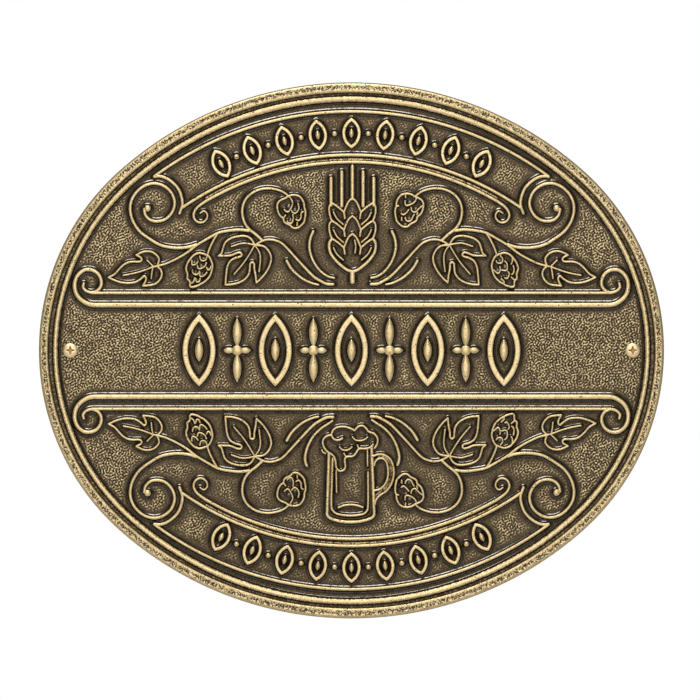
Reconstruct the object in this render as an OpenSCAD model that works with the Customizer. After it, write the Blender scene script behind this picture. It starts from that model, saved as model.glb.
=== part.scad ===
// Oval cast wall plaque with a moulded rim, two raised bars, two arched banners and
// scrollwork relief, held by two screws in wall plugs.
// X runs to the right along the plaque, Z up and Y into the wall. The origin is the
// centre of the casting's back face.

/* [Casting] */
// Width over the rim
plaque_w = 298.5; // [296:0.5:304]
// Height over the rim
plaque_h = 256; // [254:0.5:262]
// Angle above the centre line at which each end's arc meets the top arc
join_a = 48.4; // [44:0.2:52]
// Thickness of the ground behind the relief
ground_t = 5.6; // [4:0.1:8]
// Height of the ribs above the ground
rib_h = 1.6; // [1:0.1:2.2]
// Height of the frieze and the banner pieces above the ground
frieze_h = 2; // [1.2:0.1:2.6]
// Narrowest gap that the casting leaves open between two ribs
least_gap = 0.4; // [0.1:0.05:0.6]

/* [Rim] */
// Width of the outer band
band_w = 4.4; // [3:0.1:5]
// Width of the groove between the band and the bead
groove_w = 2.2; // [1.8:0.1:3.4]
// Width of the inner bead
bead_w = 2.4; // [1.6:0.1:3]
// Height of the band above the ground
band_h = 2.6; // [1.8:0.1:3.2]
// Height of the bead above the ground
bead_h = 2.2; // [1.6:0.1:2.8]
// Height of the groove's floor above the ground
groove_h = 0.9; // [0.4:0.1:1.2]
// Radius of the casting's outer front edge
edge_r = 1.2; // [0.6:0.1:1.6]

/* [Bars] */
// Height of the heavy rail above the centre line
rail_z = 21.9; // [21:0.1:23]
// Distance from the heavy rail to the light one
rail_gap = 6.1; // [5:0.1:7]
// Width of the heavy rail
rail_w = 2.3; // [1.8:0.1:2.8]
// Width of the light rail
rail_fine_w = 1.4; // [1:0.1:1.8]

/* [Banners] */
// Height of the outer rib at the middle
banner_z = 114.1; // [113:0.1:114.5]
// Radius of the outer rib
banner_r = 158.6; // [156:0.2:161]
// Height of the inner rib at the middle
banner_in_z = 93.4; // [92.6:0.1:94]
// Radius of the inner rib
banner_in_r = 142; // [140:0.2:144]
// Distance from the inner rib to its companion
banner_gap = 3.4; // [2.6:0.1:4]
// Width of the banner's ribs
banner_w = 1.5; // [1.2:0.1:1.9]

/* [Scrollwork] */
// Width of the scrolls and stems
scroll_w = 1.5; // [1.1:0.1:1.8]
// Width of the leaf and cone outlines
leaf_w = 1.1; // [0.8:0.1:1.4]
// Width of the veins
vein_w = 0.9; // [0.6:0.1:1.2]

/* [Frieze] */
// Number of figures across the middle
frieze_n = 9; // [5:2:9]
// Distance between the figures
frieze_pitch = 18.2; // [17:0.1:19]
// Height of the figures
frieze_size = 31; // [26:0.5:33]
// Width of each figure
frieze_figure_w = 13.2; // [11:0.1:14]
// Width of the figures' strokes
frieze_w = 2.6; // [1.8:0.1:3]
// Diameter of the boss in the middle of each flower
flower_boss_d = 5; // [4:0.1:6]

/* [Banner pieces] */
// Number of pointed ovals in each banner
banner_n = 9; // [5:2:11]
// Angle between them along the banner
banner_pitch_a = 6.6; // [6:0.1:7]
// Width of each
banner_piece_w = 7.4; // [6:0.1:9]
// Height of each
banner_piece_h = 13; // [10:0.5:14]
// Diameter of the pellets between them
pellet_d = 2.6; // [1.6:0.1:3.4]

/* [Screws] */
// Distance of each screw from the end of the plaque
screw_inset = 14.9; // [14:0.1:17]
// Diameter over the thread
screw_d = 3.5; // [3:0.1:4]
// Length under the head
screw_len = 32; // [28:1:38]
// Length of the tapered tip
tip_len = 5.6; // [4:0.2:7]
// Diameter of the head
head_d = 7.2; // [6.4:0.1:8]
// Height of the head
head_h = 2.2; // [1.8:0.1:2.6]
// Size of the cross recess from tip to tip
cross_size = 4.2; // [3:0.1:4.6]
// Width of the cross recess
cross_w = 0.9; // [0.6:0.1:1.2]
// Depth of the cross recess
cross_depth = 1.3; // [0.8:0.1:1.6]
// Radial clearance of the screw in the casting
hole_clear = 0.4; // [0.2:0.05:0.8]
// Depth of the countersink behind each hole, where the plug may stand proud of the wall
sink_depth = 1.1; // [0.8:0.1:2]
// Radial clearance of the countersink round the plug
sink_clear = 0.3; // [0.1:0.05:0.6]

/* [Wall plugs] */
// Diameter of the drilled hole that the plug fills
plug_d = 6; // [5.5:0.1:7]
// Length of the plug
plug_len = 30; // [26:1:36]
// Length of the plain neck
plug_neck = 9; // [6:0.5:11]
// Depth of the grooves round the plug
plug_groove = 0.35; // [0.2:0.05:0.6]
// Distance between the grooves
plug_pitch = 2.5; // [2:0.1:4]
// Length and depth of the chamfer at the plug's nose
plug_nose = 1.2; // [0.6:0.1:1.6]
// Width of the split that lets the plug spread
split_w = 0.8; // [0.5:0.1:1.2]
// Radial clearance of the thread in the plug
plug_clear = 0.06; // [0.04:0.01:0.15]

/* [Hidden] */
$fn = 24;
half_w = plaque_w / 2;
half_h = plaque_h / 2;
// The outline is an oval of four arcs that run into each other.
end_x = (half_w - half_h) / (1 + tan(join_a) - 1 / cos(join_a));
end_r = half_w - end_x;
top_drop = end_x * tan(join_a);
top_r = half_h + top_drop;
screw_x = half_w - screw_inset;
hole_d = screw_d + 2 * hole_clear;
bore_d = screw_d + 2 * plug_clear;
sink_d = plug_d + 2 * sink_clear;
// Facets along each arc of the rim
rim_steps = 20;
// Most that a curve turns between two of its points
step_turn = 36;
// Most that a banner's ribs turn between two of their points
banner_turn = 5;

// A curve passes through its knots, and has more points where it turns more.
function unit(v) = v / norm(v);
function knot(k, i) =
    i < 0 ? 2 * k[0] - k[1] :
    i >= len(k) ? 2 * k[len(k) - 1] - k[len(k) - 2] : k[i];
function between(a, b, c, d, t) =
    b + t / 2 * ((c - a) + t * (2 * a - 5 * b + 4 * c - d + t * (3 * (b - c) + d - a)));
function turn(a, b, c) = abs(atan2(cross(b - a, c - b), (b - a) * (c - b)));
function steps(a, b, c, d) = max(1, round((turn(a, b, c) + turn(b, c, d)) / 2 / step_turn));
function curve(k) = concat(
    [for (i = [0:len(k) - 2])
        let (a = knot(k, i - 1), d = knot(k, i + 2), n = steps(a, k[i], k[i + 1], d))
        for (j = [0:n - 1]) between(a, k[i], k[i + 1], d, j / n)],
    [k[len(k) - 1]]);
function arc(c, r, a0, a1, n) =
    [for (i = [0:n]) let (a = a0 + (a1 - a0) * i / n) c + r * [cos(a), sin(a)]];
function side(p, h0, h1) =
    let (last = len(p) - 1)
    [for (i = [0:last])
        let (t = unit(p[min(i + 1, last)] - p[max(i - 1, 0)]))
        p[i] + (h0 + (h1 - h0) * i / last) * [-t[1], t[0]]];
function backwards(p) = [for (i = [len(p) - 1:-1:0]) p[i]];
// Half of a pointed oval, from its foot to its tip
function half_vesica(w, h, n) =
    let (r = (w * w + h * h) / (4 * w), a = atan2(h / 2, r - w / 2))
    arc([w / 2 - r, 0], r, -a, a, n);

// A rib along a path, w wide at its start and w_end at its end, with blunt pointed ends
module rib(path, w = scroll_w, w_end = 0) {
    we = w_end > 0 ? w_end : w;
    last = len(path) - 1;
    polygon(concat(
        [path[0] + w / 2 * unit(path[0] - path[1])],
        side(path, w / 2, we / 2),
        [path[last] + we / 2 * unit(path[last] - path[last - 1])],
        backwards(side(path, -w / 2, -we / 2))));
}
// A rib round a closed outline
module outline(points, w = leaf_w) {
    difference() {
        offset(delta = w / 2) polygon(points);
        offset(delta = -w / 2) polygon(points);
    }
}
module left_and_right() {
    children();
    mirror([1, 0]) children();
}
module above_and_below() {
    children();
    mirror([0, 1]) children();
}

// The heavy rail turns in at its end to a scroll that the light rail runs into.
scroll_end = [
    [120, 0], [124.6, 0.2], [128.3, 1.9], [130.9, 4.5], [132.1, 7.7], [132, 11.3], [130.5, 14.5],
    [127.6, 16.7], [124.2, 16.8], [121.2, 15.1], [119.6, 12.1], [119.7, 9.1], [121.4, 6.9],
    [124, 6.1], [126.6, 6.7], [128.2, 8.5], [127.9, 10.3]];
// Where the light rail meets the scroll
light_rail_end = 124;
module bar() {
    translate([0, rail_z]) {
        rib([[0, 0], [scroll_end[0][0], 0]], rail_w);
        rib(curve(scroll_end), rail_w, rail_fine_w);
        rib([[0, rail_gap], [light_rail_end, rail_gap]], rail_fine_w);
    }
}

banner_end = [[94.2, 83], [88.9, 82.5], [82.6, 77], [80.8, 69.4], [82.1, 65.5]];
banner_curl = [
    [69.4, 71.4], [74.7, 66.9], [74.7, 62.4], [72.8, 61.1], [70.6, 61.4], [69, 63.2], [69, 65.3],
    [70.5, 66.6], [72.3, 65.5]];
// Where the inner rib runs into the banner's end
banner_in_end = 80.6;
// Angle of a banner rib's point at x from the middle
function banner_a(x, r) = 90 - asin(x / r);
module banner_rib(top, r, x_end) {
    end = banner_a(x_end, r);
    rib(arc([0, top - r], r, 90, end, ceil((90 - end) / banner_turn)), banner_w);
}
module banner() {
    companion_z = banner_in_z - banner_gap;
    companion_r = banner_in_r - banner_gap;
    banner_rib(banner_z, banner_r, banner_end[0][0]);
    banner_rib(banner_in_z, banner_in_r, banner_in_end);
    banner_rib(companion_z, companion_r, banner_curl[0][0]);
    rib(curve(banner_end), banner_w);
    rib(curve(banner_curl), banner_w, vein_w);
}

volute = [
    [99.6, 67.4], [99, 64.7], [96.9, 62.5], [94, 61.7], [90.4, 62.3], [87.4, 64.5], [85.5, 67.8],
    [85.1, 71.2], [86.4, 75], [89, 77.8], [92.5, 79.5], [96.4, 79.7], [100.3, 78.2], [103.8, 75],
    [105.9, 70.9], [106.2, 66.2], [104.7, 61.2], [101.6, 56.8], [92.4, 50.6], [83, 49],
    [74.8, 50.6]];
volute_eye = [98, 67.9];
eye_d = 3.2;
vine = [
    [9.3, 31.6], [12.4, 31.8], [19.4, 36], [32.9, 50.4], [39.6, 53], [43, 52.4], [46.8, 50.3]];
branch = [
    [43.2, 52.6], [49.4, 57.9], [51.6, 61], [52.7, 65], [52.5, 69], [50.8, 72.7], [47.8, 75.4],
    [44, 77], [39.6, 77.4], [32.4, 75.2], [30.4, 73.4]];
upper_vine = [
    [49.6, 57.2], [54, 57.7], [64.4, 56.1], [74.4, 50.4], [79.4, 46.6], [89.4, 41.4], [94, 40.2]];
cone_stem = [[64.6, 55.8], [67.9, 49.8], [69.8, 45.8]];
inner_tendril_top = [
    [9.3, 34.6], [12.4, 35.4], [15.9, 37.9], [18.9, 41.9], [21.2, 50.4], [19.4, 56.8]];
inner_tendril_low = [
    [9.7, 33.2], [15.4, 37], [18.9, 40.6], [21.4, 45.1], [22.7, 49.6], [22.7, 52.6], [22, 54.6]];
outer_tendril = [[16.4, 31.4], [23.6, 34.1], [29.5, 39.4], [31.5, 42.8]];
module stems() {
    rib(curve(volute), scroll_w);
    translate(volute_eye) circle(d = eye_d, $fn = 12);
    rib(curve(vine), scroll_w, leaf_w);
    rib(curve(branch), scroll_w, leaf_w);
    rib(curve(upper_vine), scroll_w, leaf_w);
    rib(curve(cone_stem), leaf_w);
    rib(curve(outer_tendril), leaf_w, scroll_w);
}

small_leaf_lobes = [
    [[93.4, 40.3], [92.5, 43.4], [93.6, 45.5], [95.8, 47], [98.6, 47.4], [103.4, 45.6]],
    [[103.4, 45.6], [101.2, 44.4], [100.8, 43.2], [102, 42.4], [108.4, 41.6], [113.6, 36.6],
     [116.6, 34.9]],
    [[116.6, 34.9], [110.4, 32.5], [103.8, 32.7], [99.6, 35.6], [99, 33], [100.2, 30.9]],
    [[100.2, 30.9], [94.6, 31.7], [91.2, 36], [91.6, 38.4], [93.4, 40.3]]];
big_leaf_lobes = [
    [[46.8, 50.4], [48.2, 52.9], [52.4, 54.7], [58.6, 53.4], [61, 51.4], [62.7, 46.4],
     [64.1, 45.2]],
    [[64.1, 45.2], [58.4, 45.4], [53.8, 46.8], [52.9, 45.8], [53.8, 44.8], [58.4, 42.8],
     [59.8, 40.2], [60.8, 31.4]],
    [[60.8, 31.4], [54.2, 32.5], [49.6, 36.6], [49, 41.4], [48, 42.2], [47.1, 41.4], [46, 32.4]],
    [[46, 32.4], [41, 38], [39, 44.6], [42.6, 49.8], [46.8, 50.4]]];
module leaf(lobes) {
    for (edge = lobes) rib(curve(edge), leaf_w);
}

// One side of a hop cone of unit width and unit length, from its stem to its tip
cone_side = [
    [0, -0.01], [0.26, 0.02], [0.45, 0.2], [0.5, 0.43], [0.44, 0.63], [0.32, 0.84], [0.16, 0.92],
    [0, 1]];
// Stem end, lean, width and length of each cone
cone_places = [[[70.3, 46.2], 24, 12.2, 17], [[28.2, 74.4], -7, 13.6, 15.4]];
module cone(at, lean, w, l) {
    last = len(cone_side) - 1;
    back = [for (i = [last - 1:-1:1]) [-cone_side[i][0], cone_side[i][1]]];
    translate(at) rotate(lean) mirror([0, 1])
        outline([for (p = concat(cone_side, back)) [p[0] * w, p[1] * l]], leaf_w);
}

awns = [[0, 72.4, 88], [5.1, 69, 85.2], [10.2, 69.4, 82.2]];
awn_w = 1.7;
grain_rows = 3;
grain_pitch = 8.5;
// Outer edge and upper edge of the topmost side grain, and half of its middle grain
grain_outer = [[9.8, 70.4], [10.9, 69], [11.1, 66.4], [9.8, 62]];
grain_upper = [[9.8, 70.4], [4.1, 65.9], [3.6, 63.1]];
middle_grain = [[0, 72.7], [1.8, 71.1], [4.1, 65.9]];
ear_base = [
    [9.8, 53.4], [10.9, 51.6], [10.5, 46.6], [7, 42], [2.4, 38.4], [0, 37.6]];
ear_stem = [[0, 32.8], [0, 37]];
ear_stem_w = 2.4;
module wheat_ear() {
    left_and_right() {
        for (a = awns) rib([[a[0], a[1]], [a[0], a[2]]], awn_w);
        for (row = [0:grain_rows - 1]) translate([0, -row * grain_pitch]) {
            if (row < grain_rows - 1) rib(curve(grain_outer), leaf_w);
            rib(curve(grain_upper), leaf_w);
            rib(curve(middle_grain), leaf_w);
        }
        rib(curve(ear_base), scroll_w);
    }
    rib(ear_stem, ear_stem_w);
}

mug_body = [
    [-10.4, -49.4], [-11.2, -76], [-9.6, -80.2], [-5, -81.6], [5, -81.6], [9.6, -80.2],
    [11.2, -78.4], [11.1, -74], [10, -45.8]];
mug_inside = [
    [-8.6, -51.6], [-9, -64], [-9.2, -74], [-8.2, -76.8], [-5.6, -78.3], [0, -78.9], [5.4, -78.3],
    [7.6, -76.8], [8.3, -73.6], [8.3, -58.2]];
handle_outer = [
    [10.3, -50.7], [13, -49.7], [16, -49.9], [19, -52.1], [20.5, -56.1], [20.5, -60], [19.3, -64],
    [17, -67.2], [14, -69.2], [12.2, -71.2], [11.6, -73.4]];
handle_inner = [
    [11.2, -54.9], [11.9, -52.9], [13.5, -51.7], [15.5, -51.7], [17.2, -53.6], [17.9, -57.6],
    [17.5, -61.6], [16, -64.4], [13.6, -66.4], [11, -66.9]];
foam_edges = [
    [[1.9, -38.3], [-2.5, -36.5], [-6, -36.6], [-8.3, -38], [-9.1, -40.4], [-8, -42.3], [-6, -42.9],
     [-3.9, -42]],
    [[2, -38.1], [3.6, -36.4], [5.8, -36], [8.6, -38.8], [11, -39.6], [12.8, -41.8], [12.7, -44.6],
     [11.5, -46.6]],
    [[-9.1, -40.4], [-11.4, -40.9], [-13.2, -42.8], [-13, -45.6], [-11.4, -48], [-8.2, -50.4],
     [-6.8, -56], [-5.2, -57.6], [-3.3, -57.1], [-2.5, -55.4], [-2.2, -50.9], [1, -50.5],
     [4, -47], [7, -46.9], [9.4, -46.3], [10.6, -44.9]]];
module mug() {
    rib(curve(mug_body), scroll_w);
    rib(curve(mug_inside), leaf_w);
    rib(curve(handle_outer), leaf_w);
    rib(curve(handle_inner), leaf_w);
    for (edge = foam_edges) rib(curve(edge), leaf_w);
}

function pointed_oval(w, h, n) =
    let (half = half_vesica(w, h, n))
    concat(half, [for (i = [1:n - 1]) -half[i]]);
// Width and height of a ring's lozenge, as shares of the ring's
lozenge = [0.3, 0.36];
// Pointed oval ring with a lozenge in it
module oval_ring(w, h, stroke, n) {
    outline(pointed_oval(w, h, n), stroke);
    polygon(pointed_oval(w * lozenge[0], h * lozenge[1], 1));
}
// Widths of the tall and the short petals, as multiples of the frieze's stroke
petal = [1.6, 1.2];
// Flower of two tall and two short petals that start inside its boss
module flower(w, h, stroke) {
    seat = flower_boss_d / 4;
    above_and_below()
        translate([0, (h / 2 + seat) / 2]) polygon(pointed_oval(stroke * petal[0], h / 2 - seat, 3));
    left_and_right()
        translate([(w / 2 + seat) / 2, 0]) rotate(90)
            polygon(pointed_oval(stroke * petal[1], w / 2 - seat, 2));
    circle(d = flower_boss_d, $fn = 10);
}
module frieze() {
    for (i = [0:frieze_n - 1])
        translate([(i - (frieze_n - 1) / 2) * frieze_pitch, 0])
            if (i % 2 == 0) oval_ring(frieze_figure_w, frieze_size, frieze_w, 4);
            else flower(frieze_figure_w, frieze_size, frieze_w);
}
// Pointed oval rings and pellets that follow the banner
module banner_row() {
    mid_z = (banner_z + banner_in_z) / 2;
    mid_r = (banner_r + banner_in_r - (banner_z - banner_in_z)) / 2;
    last = (banner_n - 1) / 2;
    for (i = [-last:0.5:last])
        translate([0, mid_z - mid_r]) rotate(-i * banner_pitch_a) translate([0, mid_r])
            if (i == round(i)) oval_ring(banner_piece_w, banner_piece_h, scroll_w, 3);
            else circle(d = pellet_d, $fn = 6);
}

// Raises a flat figure from the ground, and closes the gaps that are too narrow to cast
module raised(h = rib_h) {
    translate([0, 0, ground_t]) linear_extrude(h)
        offset(delta = -least_gap / 2) offset(delta = least_gap / 2) children();
}
module relief() {
    above_and_below() {
        raised() left_and_right() bar();
        raised() left_and_right() banner();
        raised(frieze_h) banner_row();
        left_and_right() {
            raised() {
                stems();
                leaf(small_leaf_lobes);
                leaf(big_leaf_lobes);
                for (c = cone_places) cone(c[0], c[1], c[2], c[3]);
            }
        }
    }
    left_and_right() {
        raised() rib(curve(inner_tendril_top), leaf_w, scroll_w);
        raised() mirror([0, 1]) rib(curve(inner_tendril_low), leaf_w, scroll_w);
    }
    raised() wheat_ear();
    raised() mug();
    raised(frieze_h) frieze();
}

// Section of the rim from the back's edge to the ground: distance in and height
function rim_section() =
    let (band_top = ground_t + band_h,
         corner_r = edge_r / 2,
         floor = ground_t + groove_h,
         bead_at = band_w + groove_w + bead_w / 2,
         bead_r = bead_w / 2,
         foot = bead_at + bead_r + (bead_h - bead_r) / 4)
    concat(
        [[0, 0]],
        arc([edge_r, band_top - edge_r], edge_r, 180, 90, 2),
        arc([band_w - corner_r, band_top - corner_r], corner_r, 90, 10, 2),
        arc([band_w + groove_w / 2, floor + groove_w / 2], groove_w / 2, 210, 330, 2),
        arc([bead_at, ground_t + bead_h - bead_r], bead_r, 170, 0, 4),
        [[foot, ground_t]]);
// The outline drawn in by d. Its arcs share their ends, so each leaves out its last point.
function oval(d) = [
    for (turn = [0, 180], top = [0, 1], i = [0:rim_steps - 1])
        let (r = top ? top_r : end_r,
             start = top ? join_a : -join_a,
             sweep = top ? 180 - 2 * join_a : 2 * join_a,
             centre = top ? [0, -top_drop] : [end_x, 0],
             a = start + sweep * i / rim_steps,
             p = centre + (r - d) * [cos(a), sin(a)])
        turn == 0 ? p : -p];
// The plate and its rim, lofted through the outline drawn in along the rim's section
module plate() {
    section = rim_section();
    n = len(oval(0));
    last = len(section) - 1;
    polyhedron(
        points = [for (p = section, q = oval(p[0])) [q[0], q[1], p[1]]],
        faces = concat(
            [[for (i = [0:n - 1]) i], [for (i = [n - 1:-1:0]) last * n + i]],
            [for (k = [0:last - 1], i = [0:n - 1])
                let (a = k * n + i, b = k * n + (i + 1) % n)
                each [[a, a + n, b + n], [a, b + n, b]]]));
}

// Turns a shape drawn facing the viewer to face the front of the plaque
module face_front() {
    rotate([90, 0, 0]) children();
}
// Hole for a screw, with a countersink at the back
module screw_hole() {
    translate([0, 0, -1]) cylinder(d = hole_d, h = ground_t + 2);
    translate([0, 0, -1]) cylinder(d = sink_d, h = 1);
    cylinder(d1 = sink_d, d2 = hole_d, h = sink_depth);
}
module casting() {
    color([0.55, 0.47, 0.3]) face_front() {
        difference() {
            plate();
            for (x = [-screw_x, screw_x]) translate([x, 0, 0]) screw_hole();
        }
        relief();
    }
}

// Domed screw with a cross recess, along the wall's inward direction
module screw(x) {
    dome_r = (head_d * head_d / 4 + head_h * head_h) / (2 * head_h);
    color([0.8, 0.7, 0.47]) translate([x, 0, 0]) face_front() difference() {
        union() {
            translate([0, 0, ground_t]) rotate_extrude() polygon(concat(
                [[0, 0]],
                arc([0, head_h - dome_r], dome_r, asin((dome_r - head_h) / dome_r), 90, 5)));
            translate([0, 0, ground_t - screw_len + tip_len])
                cylinder(d = screw_d, h = screw_len - tip_len + head_h / 4);
            translate([0, 0, ground_t - screw_len])
                cylinder(d1 = screw_d / 8, d2 = screw_d, h = tip_len);
        }
        for (turn = [0, 90]) rotate(turn)
            translate([-cross_size / 2, -cross_w / 2, ground_t + head_h - cross_depth])
                cube([cross_size, cross_w, head_h]);
    }
}
module screw_left() { screw(-screw_x); }
module screw_right() { screw(screw_x); }

// Ribbed plug that the screw spreads in the wall
module wall_plug(x) {
    grooves = floor((plug_len - plug_neck - 2) / plug_pitch);
    color([0.75, 0.75, 0.73]) translate([x, 0, 0]) rotate([-90, 0, 0]) difference() {
        rotate_extrude() polygon(concat(
            [[0, 0], [plug_d / 2, 0], [plug_d / 2, plug_neck]],
            [for (i = [0:grooves - 1])
                let (z = plug_neck + i * plug_pitch)
                each [[plug_d / 2 - plug_groove, z], [plug_d / 2, z + plug_pitch]]],
            [[plug_d / 2 - plug_nose, plug_len], [0, plug_len]]));
        translate([0, 0, -1]) cylinder(d = bore_d, h = plug_len + 2);
        translate([-plug_d, -split_w / 2, plug_neck + 1])
            cube([2 * plug_d, split_w, plug_len]);
    }
}
module wall_plug_left() { wall_plug(-screw_x); }
module wall_plug_right() { wall_plug(screw_x); }

casting();
screw_left();
screw_right();
wall_plug_left();
wall_plug_right();
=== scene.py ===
"""Looks of an oval cast wall plaque: rounded relief, stippled ground and antique brass finish.

Plan coordinates are in mm as the plaque is read: x to the right, z up, and height towards the
viewer from the back face. Meshes are built from them in metres in the frame of the CAD model.
"""
import math

import bpy
import numpy as np
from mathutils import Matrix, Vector, kdtree


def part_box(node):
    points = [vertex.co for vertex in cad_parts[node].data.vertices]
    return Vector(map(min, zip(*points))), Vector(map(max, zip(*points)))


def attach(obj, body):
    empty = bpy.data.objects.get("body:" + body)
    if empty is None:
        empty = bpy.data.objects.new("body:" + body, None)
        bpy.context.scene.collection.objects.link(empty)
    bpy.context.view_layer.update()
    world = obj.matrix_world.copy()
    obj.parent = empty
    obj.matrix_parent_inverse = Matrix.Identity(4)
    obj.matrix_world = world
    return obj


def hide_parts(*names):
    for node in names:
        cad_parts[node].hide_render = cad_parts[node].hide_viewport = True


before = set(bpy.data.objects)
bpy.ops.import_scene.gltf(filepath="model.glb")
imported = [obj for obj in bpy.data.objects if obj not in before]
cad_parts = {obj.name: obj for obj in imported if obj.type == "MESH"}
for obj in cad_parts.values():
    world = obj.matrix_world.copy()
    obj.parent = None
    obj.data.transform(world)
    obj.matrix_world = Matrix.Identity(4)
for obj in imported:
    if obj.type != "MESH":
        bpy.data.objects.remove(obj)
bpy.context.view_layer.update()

MM = 0.001
SEED = 11

# Casting, in mm, as in the CAD model
casting_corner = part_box("casting")[1]
HALF_W = casting_corner.x / MM
HALF_H = casting_corner.z / MM
JOIN_A = math.radians(48.4)
GROUND_T = 5.6
RIB_H = 1.6
FRIEZE_H = 2.0
BAND_H = 2.6
BEAD_H = 2.2
GROOVE_H = 0.9
SCREW_INSET = 14.9
SCREW_X = HALF_W - SCREW_INSET
HOLE_D = 4.3
SINK_D = 6.6
SINK_DEPTH = 1.1

# The outline is an oval of four arcs that run into each other.
END_X = (HALF_W - HALF_H) / (1 + math.tan(JOIN_A) - 1 / math.cos(JOIN_A))
END_R = HALF_W - END_X
TOP_DROP = END_X * math.tan(JOIN_A)
TOP_R = HALF_H + TOP_DROP

# Distances between the points of a rib, of a disc, of a scale's swelling and of the ground
SPACING = 0.62
DISC_SPACING = 0.5
SCALE_SPACING = 0.4
GROUND_STEP = 0.38
CURVE_STEPS = 12

# Half of a rib's section. On the rib: share of its half width and share of its height.
CROWN = [(0, 1.0), (0.42, 0.985), (0.72, 0.92), (0.92, 0.80), (1.0, 0.66)]
# Beside it: distance out in mm and share of its height. The last two are under the ground.
FLANK = [(0.10, 0.50), (0.28, 0.38), (0.48, 0.29), (0.68, 0.215), (0.88, 0.15), (1.08, 0.095),
         (1.3, 0.052), (1.6, 0.022), (1.95, 0.004), (2.15, -0.02), (2.2, -0.25)]
# The fillets of thin ribs are narrower. Their share of the width above, at no width and per mm
NARROWEST_FLANK = 0.35
FLANK_WIDENS = 0.43
# The broad figures have flat tops.
FLAT = [(0, 1.0), (0.5, 1.0), (0.78, 0.985), (0.93, 0.93), (1.0, 0.80)]
# A rib's round end is made of sections at these angles from its side.
CAP_ANGLES = (90, 60, 30)
# On the inside of a bend the section reaches at most this share of the bend's radius.
BEND_REACH = 0.95
NO_LIMIT = 1e3
# The bend is averaged over this many points.
AVERAGED = 5
# Cosine of half the turn at a point. Below the first it is a corner, and the second caps the mitre.
CORNER = 0.97
MITRE_CAP = 0.4
# Where a boss is sampled for the stipple, as shares of the way out, and each sample's reach
BOSS_SAMPLES = (0.25, 0.5, 0.75, 1)
SAMPLE_R = 0.02


def unit(v):
    return v / np.maximum(np.linalg.norm(v, axis=-1, keepdims=True), 1e-9)


def smooth(value, low, high):
    t = np.clip((value - low) / (high - low), 0, 1)
    return t * t * (3 - 2 * t)


def even(points, spacing):
    """Points at even distances along a line"""
    run = np.concatenate([[0], np.cumsum(np.linalg.norm(np.diff(points, axis=0), axis=1))])
    at = np.linspace(0, run[-1], max(2, round(run[-1] / spacing)) + 1)
    return np.stack([np.interp(at, run, points[:, i]) for i in (0, 1)], 1)


def curve(knots, closed=False):
    """Points along a smooth curve through the knots"""
    k = np.array(knots, float)
    if closed:
        p = np.vstack([k[-1:], k, k[:2]])
    else:
        p = np.vstack([2 * k[0] - k[1], k, 2 * k[-1] - k[-2]])
    t = np.linspace(0, 1, CURVE_STEPS, endpoint=False)[:, None]
    parts = [b + t / 2 * ((c - a) + t * (2 * a - 5 * b + 4 * c - d + t * (3 * (b - c) + d - a)))
             for a, b, c, d in zip(p, p[1:], p[2:], p[3:])]
    line = even(np.vstack(parts + [p[-2:-1]]), SPACING)
    return line[:-1] if closed else line


def arc(centre, r, a0, a1, spacing=SPACING):
    """Points along an arc, with its angles in degrees"""
    n = max(3, round(abs(math.radians(a1 - a0)) * r / spacing))
    a = np.radians(np.linspace(a0, a1, n + 1))
    return np.array(centre) + r * np.stack([np.cos(a), np.sin(a)], 1)


def disc(centre, d, spacing=DISC_SPACING):
    return arc(centre, d / 2, 0, 360, spacing)[:-1]


def placed(points, at=(0, 0), turn=0):
    """Points turned by an angle in degrees, and moved"""
    a = math.radians(turn)
    matrix = np.array([[math.cos(a), -math.sin(a)], [math.sin(a), math.cos(a)]])
    return np.asarray(points, float) @ matrix.T + np.array(at, float)


def pointed_oval(w, h):
    """Closed outline of two arcs that meet in points at the top and the bottom"""
    r = (w * w + h * h) / (4 * w)
    a = math.degrees(math.atan2(h / 2, r - w / 2))
    half = arc([w / 2 - r, 0], r, -a, a)
    return np.vstack([half[:-1], -half[:-1]])


def rim_distance(x, z):
    """Distance in from the outline"""
    x, z = np.abs(x), np.abs(z)
    at_end = np.arctan2(z, x - END_X) < JOIN_A
    return np.where(at_end & (x > END_X), END_R - np.hypot(x - END_X, z),
                    TOP_R - np.hypot(x, z + TOP_DROP))


def directions(path, closed):
    """At each point: the way along the path, its left, the lean of its mitre, its bend per mm"""
    if closed:
        into, out = path - np.roll(path, 1, 0), np.roll(path, -1, 0) - path
    else:
        out = np.vstack([np.diff(path, axis=0), path[-1:] - path[-2:-1]])
        into = np.vstack([path[1:2] - path[:1], np.diff(path, axis=0)])
    length = np.maximum(np.linalg.norm(out, axis=1), 1e-6)
    into, out = unit(into), unit(out)
    along = unit(into + out)
    left = np.stack([-along[:, 1], along[:, 0]], 1)
    lean = np.maximum(np.sum(along * into, 1), MITRE_CAP)
    bend = np.arctan2(into[:, 0] * out[:, 1] - into[:, 1] * out[:, 0], np.sum(into * out, 1))
    bend = bend / length
    if len(path) > AVERAGED + 1 and not closed:
        bend = np.convolve(np.pad(bend, AVERAGED // 2, mode="edge"),
                           np.full(AVERAGED, 1 / AVERAGED), mode="valid")
    return along, left, lean, bend


def ring_faces(index):
    """Faces between closed rings of points. Each row of the index is a ring."""
    following = np.roll(index, -1, 1)
    return np.stack([index[:-1], following[:-1], following[1:], index[1:]], -1).reshape(-1, 4)


def fan(ring, tip, flip=False):
    """Triangles from a closed ring of points to a tip"""
    following = np.roll(ring, -1)
    first, second = (following, ring) if flip else (ring, following)
    return np.stack([first, second, np.full(len(ring), tip)], -1)


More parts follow.
